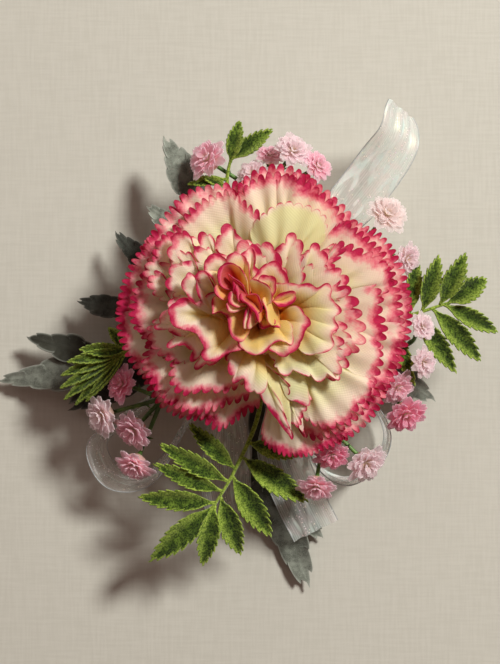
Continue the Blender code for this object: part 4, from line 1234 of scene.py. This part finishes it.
# Angle at the bundle, the stem's further points, and the florets: middle, size and, for some, a
# point that the branch passes
FLORET_SPRAYS = {
    "top": (
        86,
        ((0.5, 27, 20.5), (0.5, 36, 22.5)),
        (
            ((-17.2, 47.2, 27.5), 1.15),
            ((-3.2, 43.0, 25.5), 0.85),
            ((2.6, 49.0, 22), 0.80),
            ((9.6, 49.6, 28), 1.10),
            ((17.4, 45.0, 26), 0.90),
        ),
    ),
    "upper_right": (
        40,
        ((22, 17, 20.5), (31, 21, 22.5)),
        (
            ((38.6, 30.2, 28), 1.15),
            ((44.6, 16.0, 27.5), 0.90),
        ),
    ),
    "right": (
        -14,
        ((25, -9, 19.5), (36, -14, 21)),
        (
            ((49.0, -4.5, 30.5), 0.8, (46.5, -9.5, 20.5)),
            ((49.8, -15.5, 27), 0.85),
            ((42.0, -23.6, 25), 1.0),
            ((44.4, -32.2, 26), 1.15),
        ),
    ),
    "lower_right": (
        -56,
        ((15, -26, 20), (20, -35, 21.5)),
        (
            ((32.4, -47.0, 26), 1.15),
            ((21.6, -44.6, 26), 0.95),
            ((16.6, -54.5, 25), 1.0),
        ),
    ),
    "lower_left": (
        222,
        ((-22, -20, 20.5), (-31, -27, 22)),
        (
            ((-43.8, -22.3, 24), 1.0),
            ((-50.4, -32.4, 23), 1.15),
            ((-40.2, -37.0, 24), 1.15),
            ((-40.0, -48.4, 21), 1.1),
        ),
    ),
}
FLORET_TONES = {
    "top": ("pink", "pale", "pink", "pale", "pink"),
    "upper_right": ("white", "pale"),
    "right": ("pale", "pale", "pink", "rose"),
    "lower_right": ("pale", "rose", "pink"),
    "lower_left": ("rose", "pale", "pink", "pink"),
}


def floret_frame(foot, facing, size):
    """Turns radii, heights and angles in a floret into points."""
    across = unit(np.cross(facing, (0.3, 0.9, 0.1)))
    other = np.cross(facing, across)

    def placed(radius, height, turn):
        ring = across * np.cos(turn)[..., None] + other * np.sin(turn)[..., None]
        aside, up = (radius * FLORET_RADIUS)[..., None], (height * FLORET_DEPTH)[..., None]
        return foot + size * (ring * aside + facing * up)

    return placed


def bell(pieces, placed):
    """The bell that a floret's petals grow from."""
    turns = np.linspace(0.0, math.tau, BELL_SIDES)
    wavy = 1.0 + 0.05 * np.cos(7 * turns)[None] * (BELL_HEIGHTS / 0.5)
    grid = placed(BELL_RADII * wavy, BELL_HEIGHTS, turns)
    pieces.sheet(grid, BELL_SHEET, stacked(BELL_HEIGHTS * 0.4, np.ones(wavy.shape), 0.0), grid)


def floret_petal(pieces, placed, whorl, turn, draw):
    """A narrow crinkled petal of a whorl."""
    _, root_radius, root_height, tip_radius, tip_height, width = whorl
    out = np.linspace(0.0, 1.0, FLORET_STEPS)[:, None]
    side = np.linspace(-1.0, 1.0, FLORET_STEPS)[None]
    radius = root_radius + (tip_radius * draw.uniform(0.88, 1.12) - root_radius) * out
    bow = np.sin(out * math.pi) * draw.uniform(0.02, 0.07)
    height = root_height + (tip_height - root_height) * out**1.2 + bow
    half = width * np.minimum(1.0, 0.30 + 0.9 * out) / 2 * np.sqrt(1.0 - 0.45 * ramp(out, 0.8, 1.0))
    twist = draw.uniform(-0.35, 0.35) * out
    spread = half * side
    angle = turn + spread / (FLORET_RADIUS * np.maximum(radius, 0.14))
    crinkle = 0.012 * np.cos(math.pi * (side * 2.5 + draw.random())) * ramp(out, 0.2, 1.0)
    lift = height + crinkle + (0.03 * side**2) * out + twist * spread * 0.09
    rounding = (0.20 * side**2 + 0.10 * np.exp(-((side / 0.2) ** 2))) * ramp(out, 0.45, 1.0)
    grid = placed(radius * (1.0 - rounding), lift, angle)
    marks = stacked(out, half * (1.0 - np.abs(side)), draw.random())
    pieces.sheet(grid, FLORET_SHEET, marks, grid + draw.uniform(0, 20, 3))


def floret(pieces, foot, facing, size, draw):
    """A double floret: a bell with whorls of narrow petals, opening along a direction."""
    placed = floret_frame(foot, facing, size)
    bell(pieces, placed)
    for whorl in WHORLS:
        count, start = whorl[0], draw.random()
        for k in range(count):
            turn = math.tau * (k + start + draw.uniform(-0.22, 0.22)) / count
            floret_petal(pieces, placed, whorl, turn, draw)


def branch(stems, fork, foot, facing, size, knee, draw):
    """A floret's branch with its bracts, and the small green cup at its end."""
    end = foot - facing * 0.3
    sagged = fork + (end - fork) * BRANCH_REACH - BRANCH_SAG * UPRIGHT
    via = np.array(knee[0], float) if knee else sagged
    route, _ = smooth_curve([fork, via, end - facing * STEM_NECK, end], 19)
    stems.tube(route, np.linspace(*BRANCH_RADII, len(route)), STEM_SIDES)
    cup = [foot - facing * 1.6, foot - facing * 0.9, foot - facing * 0.2, foot + facing * 0.9 * size]
    stems.tube(np.array(cup), CUP_RADII * (0.6 + 0.4 * size), CUP_SIDES)
    for share in BRACT_SHARES:
        spot = route[int(share * (len(route) - 1))]
        away = unit(draw.normal(size=3) + 0.6 * UPRIGHT)
        bract = np.array([spot, spot + away * 1.4, spot + away * 2.4 + 0.5 * UPRIGHT])
        stems.tube(bract, BRACT_RADII, BRACT_SIDES)


def florets(finishes, stem):
    """The sprays of florets with their branching stems."""
    for place, (angle, bends, heads) in FLORET_SPRAYS.items():
        stems = Pieces()
        draw = np.random.default_rng(60 + len(place))
        route, _ = smooth_curve([at_bundle(angle, HIGH_ROOT), *bends], 21)
        stems.tube(route, np.linspace(*STEM_RADII, len(route)), STEM_SIDES)
        fork = route[-1]
        for number, (middle, size, *knee) in enumerate(heads, 1):
            middle = np.array(middle, float)
            facing = unit(unit(middle - fork) + FLORET_RISE * UPRIGHT)
            foot = middle - facing * FLORET_DEPTH * size * FLORET_MIDDLE
            branch(stems, fork, foot, facing, size, knee, draw)
            head = Pieces()
            floret(head, foot, facing, size, draw)
            finish = finishes[FLORET_TONES[place][number - 1]]
            head.build(f"blossom_{place}_{number}", finish, f"floret_{place}_{number}")
        stems.build(f"green_stem_{place}", stem, f"floret_stem_{place}")


# Ribbon

RIBBON_WIDTH = 15.9
RIBBON_SHEET = 0.16
THREAD_RADIUS, THREAD_SIDES = 0.14, 6
COLLAR_MIDDLE = 17.6  # height of the turn that ties the bow to the bundle
COLLAR_WIDTH = 3.2
WRAP_RADIUS = 11.2
WRAP_FOLD = 0.78
WRAP_ROWS, WRAP_COLUMNS = 49, 109
RUN_ROWS, RUN_COLUMNS = 90, 37
RIBBON_FOLDS = 3
MOST_FOLD = 0.62  # share of the lost width that goes into the depth of the folds
PLEAT = 0.20
PAINTED_HIGHLIGHTS = {"top_tail": 46.0}  # where along a run a painted highlight is centred, at its bend towards the light
NO_PAINTED_HIGHLIGHT = -100.0
PAINTED_HIGHLIGHT_REACH = 6.0
# Points of each run: place, way across the ribbon, and share of its width that lies open
RIBBON_RUNS = {
    "top_tail": (
        ((7.1, 8.2, COLLAR_MIDDLE), (0, 0, 1), 0.18),
        ((18, 21, 16), (-0.5, 0.45, 0.7), 0.6),
        ((29, 35, 16), (-0.75, 0.62, 0.15), 1.0),
        ((37.0, 45.5, 19), (-0.75, 0.6, 0.1), 1.0),
        ((42.5, 54.5, 22), (-0.8, 0.25, 0.45), 1.0),
        ((43.5, 63.5, 20), (-0.5, -0.3, 0.75), 1.0),
    ),
    "right_loop": (
        ((8.2, -7.2, COLLAR_MIDDLE), (0, 0, 1), 0.18),
        ((24, -19, 14), (0, 0, 1), 0.7),
        ((35.5, -29, 12), (0, 0, 1), 0.95),
        ((40.0, -40, 11.5), (0, 0, 1), 1.0),
        ((35.0, -50.0, 11), (0, 0, 1), 1.0),
        ((25, -53.6, 10.5), (0, -0.1, 1), 0.95),
        ((15, -44, 12), (-0.1, 0, 1), 0.7),
        ((6.0, -9.1, COLLAR_MIDDLE), (0, 0, 1), 0.18),
    ),
    "front_tail": (
        ((2.6, -10.6, COLLAR_MIDDLE), (0, 0, 1), 0.18),
        ((5.5, -28, 18), (0.9, 0.2, 0.1), 0.5),
        ((6.5, -45, 14), (0.95, 0.2, 0.15), 1.0),
        ((12, -59, 12), (0.9, 0.4, 0), 1.0),
        ((17.5, -70.2, 8.5), (0.88, 0.46, 0), 1.0),
    ),
    "left_tail": (
        ((-5.0, -9.6, COLLAR_MIDDLE), (0, 0, 1), 0.18),
        ((-10.5, -28, 17.5), (0.9, 0, 0.1), 0.5),
        ((-11.0, -44, 12.5), (1, 0, 0.1), 1.0),
        ((-11.5, -56, 9.5), (1, 0, 0), 1.0),
        ((-9.8, -65.3, 6.5), (1, 0.05, 0), 1.0),
    ),
    "left_loop": (
        ((-8.9, -6.4, COLLAR_MIDDLE), (0, 0, 1), 0.18),
        ((-26, -21, 13), (0, 0, 1), 0.6),
        ((-42, -33, 10), (-0.1, 0.2, 1), 0.8),
        ((-53, -42, 8.8), (-0.4, 0, 1), 0.9),
        ((-48, -53, 8.6), (-0.2, -0.4, 1), 0.9),
        ((-35, -52, 9), (0.1, -0.3, 1), 0.8),
        ((-22, -32, 12), (0, 0, 1), 0.6),
        ((-6.4, -8.9, COLLAR_MIDDLE), (0, 0, 1), 0.18),
    ),
}


def ribbon_course(points):
    """A run's middle line, length, distances along it, ways across it and open shares."""
    spots, ways, shares = zip(*points)
    centre, length = smooth_curve(spots, RUN_ROWS)
    ways = [np.array(way, float) / np.linalg.norm(way) for way in ways]
    ways, _ = smooth_curve(ways, RUN_ROWS, even=False)
    shares, _ = smooth_curve([(share, 0.0) for share in shares], RUN_ROWS, even=False)
    spots, _ = smooth_curve(spots, RUN_ROWS, even=False)
    run = run_along(spots)
    want = np.linspace(0.0, run[-1], RUN_ROWS)
    share = np.clip(np.interp(want, run, shares[:, 0]), 0.12, 0.985)
    return centre, length, want, unit(spread_over(want, run, ways)), share


def ribbon_run(name, points, finish, edge_finish):
    """A loop or tail, gathered into folds where it is narrow, with a thread along each edge."""
    centre, length, want, ways, share = ribbon_course(points)
    along = unit(np.gradient(centre, axis=0))
    ways = unit(ways - along * (ways * along).sum(axis=1, keepdims=True))
    normal = np.cross(along, ways)
    side = np.linspace(-1.0, 1.0, RUN_COLUMNS)[None]
    rise = np.linspace(0, 1, RUN_ROWS)[:, None]
    lost = np.sqrt(np.maximum(1.0 - share**2, 0.0))
    depth = lost * RIBBON_WIDTH / (RIBBON_FOLDS * 4.0) * (1.0 + 0.35 * (1.0 - share)) * MOST_FOLD
    folds = np.sin(math.pi * RIBBON_FOLDS * side) * depth[:, None]
    drift = 0.30 * np.sin(2.2 * math.pi * side + 3.0 * math.pi * rise)
    pleats = math.pi * 4.5 * side + 1.5 * np.sin(2.0 * math.pi * rise)
    drift = drift + PLEAT * np.cos(pleats) * share[:, None]
    grid = centre[:, None] + ways[:, None] * (side * (share * RIBBON_WIDTH / 2)[:, None])[..., None]
    grid = grid + normal[:, None] * (folds + drift)[..., None]
    edge = (1.0 - np.abs(side)) * RIBBON_WIDTH / 2
    # Painted highlight: a band round the run's listed bend
    highlight_band = np.exp(-(((want - PAINTED_HIGHLIGHTS.get(name, NO_PAINTED_HIGHLIGHT)) / PAINTED_HIGHLIGHT_REACH) ** 2))[:, None]
    sheet = Pieces()
    cloth = stacked(side * RIBBON_WIDTH / 2, want[:, None], 0.0)
    sheet.sheet(grid, RIBBON_SHEET, stacked(side, edge, highlight_band), cloth)
    made = sheet.build(f"organza_{name}", finish, "ribbon_bow")
    threads = Pieces()
    for column in (0, -1):
        threads.tube(grid[:, column], THREAD_RADIUS, THREAD_SIDES)
    edging = threads.build(f"thread_{name}", edge_finish, "ribbon_bow")


def ribbon(finish, thin_finish, edge_finish):
    """The bow: its loops and tails, and the turn that ties them to the bundle."""
    for name, points in RIBBON_RUNS.items():
        ribbon_run(name, points, thin_finish if name == "left_loop" else finish, edge_finish)
    turns = np.linspace(0.0, math.tau, WRAP_COLUMNS)
    rows = np.linspace(-0.5, 0.5, WRAP_ROWS)[:, None]
    folds = WRAP_FOLD * np.cos(rows * math.tau * 4) * (1.0 + 0.15 * np.sin(3 * turns))
    radius = WRAP_RADIUS + folds
    height = COLLAR_MIDDLE + rows * COLLAR_WIDTH + 0.15 * np.sin(2 * turns)
    grid = stacked(radius * np.cos(turns), radius * np.sin(turns), height)
    wrap = Pieces()
    wrap.sheet(grid, RIBBON_SHEET, np.zeros(grid.shape), stacked(rows * 8, radius * turns, 0.0))
    made = wrap.build("organza_wrap", finish, "ribbon_bow")


# Bundle, calyx, pad and band

BUNDLE_BASE, BUNDLE_TOP = 15.3, 22.5
BUNDLE_HOLE, BUNDLE_SIDE = 4.7, 9.9
TAPE_TURNS = 25
BUNDLE_SIDES, CALYX_SIDES, PAD_SIDES = 72, 60, 96
CALYX_RIM = ((6.9, 24.2), (7.2, 24.6), (7.25, 26.2), (6.6, 26.3))
PAD_BASE, PAD_TOP = 13.3, 15.0
PAD_STRETCH = 30.0 / 23.0
BAND_LENGTH, BAND_WIDTH, BAND_HEIGHT = 66.0, 22.0, 13.0
BAND_THICKNESS = 1.5
BAND_RIBS, RIB = 11, 0.16
BAND_ROWS, BAND_STEPS = 57, 24  # across the band, and along each bend and each straight side


def turned(pieces, profile, sides, wave, stretch=1.0):
    """A turned body whose profile comes back to where it starts."""
    turns = math.tau * np.arange(sides) / sides
    rings = []
    for radius, height in profile:
        reach = radius * (1.0 + wave(turns, height))
        rings.append(stacked(reach * np.cos(turns) * stretch, reach * np.sin(turns), height))
    pieces.ring(np.array(rings)[::-1])


def bundle(finish):
    """The stems, wound with tape whose turns overlap."""
    pieces = Pieces()
    profile = [(BUNDLE_HOLE, BUNDLE_BASE), (BUNDLE_SIDE - 0.3, BUNDLE_BASE)]
    last = TAPE_TURNS - 1
    for k in range(TAPE_TURNS):
        height = BUNDLE_BASE + 0.2 + (BUNDLE_TOP - BUNDLE_BASE - 0.8) * k / last
        profile.append((BUNDLE_SIDE - 0.35 * ((k * 0.33) % 1.0), height))
    profile += [(BUNDLE_SIDE - 1.2, BUNDLE_TOP), (BUNDLE_HOLE, BUNDLE_TOP)]
    turned(pieces, profile, BUNDLE_SIDES, lambda turns, height: 0.02 * np.sin(9 * turns + 2 * height))
    pieces.build("taped_bundle", finish, "stem_bundle")


def calyx(finish):
    """The green cup that holds the core."""
    pieces = Pieces()
    profile = [(0.4, BUNDLE_BASE), (4.3, BUNDLE_BASE), (4.4, BUNDLE_TOP), (5.6, BUNDLE_TOP + 0.7)]
    profile += CALYX_RIM
    for k in range(1, 9):
        turn = -math.radians(12 + 78 * k / 8)
        radius = max(0.4, ROOT_RADIUS * math.cos(turn))
        profile.append((radius, CORE_HEIGHT + ROOT_RADIUS * math.sin(turn)))

    def scalloped(turns, height):
        return 0.012 * np.cos(10 * turns) * (height > BUNDLE_TOP)

    turned(pieces, profile, CALYX_SIDES, scalloped)
    pieces.build("green_calyx", finish, "calyx")


def pad(finish):
    """The felt pad between the flowers and the band."""
    pieces = Pieces()
    profile = [(0.3, PAD_BASE), (10.9, PAD_BASE), (11.4, PAD_BASE + 0.25), (11.5, PAD_BASE + 0.85)]
    profile += [(11.4, PAD_TOP - 0.25), (10.9, PAD_TOP), (0.3, PAD_TOP)]
    turned(pieces, profile, PAD_SIDES, lambda turns, height: 0.004 * np.sin(23 * turns), PAD_STRETCH)
    pieces.build("felt_pad", finish, "backing_pad")


def band(finish):
    """The elastic wristband, lying collapsed, with ribs all round it."""
    pieces = Pieces()
    straight = (BAND_LENGTH - BAND_HEIGHT) / 2
    path = []  # along the band: middle of the bend, and the way out from it
    for side in (1, -1):
        for k in range(BAND_STEPS + 1):
            turn = side * math.pi / 2 * (2.0 * k / BAND_STEPS - 1.0)
            path.append((side * straight, side * math.cos(turn), math.sin(turn)))
        for k in range(1, BAND_STEPS):
            path.append((side * straight * (1.0 - 2.0 * k / BAND_STEPS), 0.0, side * 1.0))
    path = np.array(path)
    across = np.linspace(-1.0, 1.0, BAND_ROWS)
    rings = []
    for inward, order, outward in ((0.0, across, 1.0), (BAND_THICKNESS, across[::-1], -1.0)):
        for y in order:
            ridge = RIB * (np.cos(y * math.pi * BAND_RIBS) - 1.0) * outward
            radius = BAND_HEIGHT / 2 - inward + ridge
            x = path[:, 0] + radius * path[:, 1]
            z = BAND_HEIGHT / 2 + radius * path[:, 2]
            rings.append(stacked(x, y * BAND_WIDTH / 2, z))
    pieces.ring(np.array(rings))
    pieces.build("elastic_band", finish, "wristband")


# Light and surface

# Lights: direction, distance, size, power and colour
KEY = ((0.54, 0.48, 0.70), 1.4, 0.30, 25.8, (1.0, 0.98, 0.92))
FILL = ((-0.5, 0.6, 0.75), 1.2, 0.8, 1.44, (1.0, 0.92, 0.86))
LIT_POINT = (0.0, 0.0, 0.02)
ROOM_COLOUR = (0.66, 0.41, 0.34, 1.0)
ROOM_STRENGTH = 0.24
SURFACE_REACH = 1.5  # metres from its middle to its edges
SURFACE_DROP = 0.0002


def area_light(name, direction, distance, size, power, colour):
    """A round light, so many metres away in a direction and aimed at the corsage."""
    data = bpy.data.lights.new(name, "AREA")
    data.shape = "DISK"
    data.size = size
    data.energy = power
    data.color = colour
    light = bpy.data.objects.new(name, data)
    light.location = Vector(direction).normalized() * distance
    scene.collection.objects.link(light)
    light.rotation_euler = (Vector(LIT_POINT) - light.location).to_track_quat("-Z", "Y").to_euler()


def studio():
    """A pale surface, a soft warm key light from the upper right and a dim fill."""
    data = bpy.data.meshes.new("surface")
    size = SURFACE_REACH
    corners = [(-size, -size, 0), (size, -size, 0), (size, size, 0), (-size, size, 0)]
    data.from_pydata(corners, [], [(0, 1, 2, 3)])
    data.materials.append(canvas_finish())
    surface = bpy.data.objects.new("surface", data)
    surface.location = (0.0, 0.0, -SURFACE_DROP)
    scene.collection.objects.link(surface)
    area_light("key", *KEY)
    area_light("fill", *FILL)
    world = bpy.data.worlds.new("room")
    world.use_nodes = True
    background = world.node_tree.nodes["Background"]
    background.inputs["Color"].default_value = ROOM_COLOUR
    background.inputs["Strength"].default_value = ROOM_STRENGTH
    scene.world = world


add_camera()
studio()
bloom(petal_finish())
leaves(dusty_finish("dusty_velvet", 1.0), dusty_finish("dusty_velvet_painted_shade", SHADE_TONE))
ferns(flock_finish())
stem = stem_finish()
florets({tone: floret_finish(f"floret_{tone}", *pair) for tone, pair in FLORET_COLOURS.items()}, stem)
organza = organza_finish("ribbon_organza", *COVER)
thin_organza = organza_finish("ribbon_thin", *THIN_COVER)
ribbon(organza, thin_organza, thread_finish())
bundle(tape_finish())
calyx(stem)
pad(felt_finish())
band(elastic_finish())
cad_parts["petal_core"].data.materials.clear()
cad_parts["petal_core"].data.materials.append(core_finish())
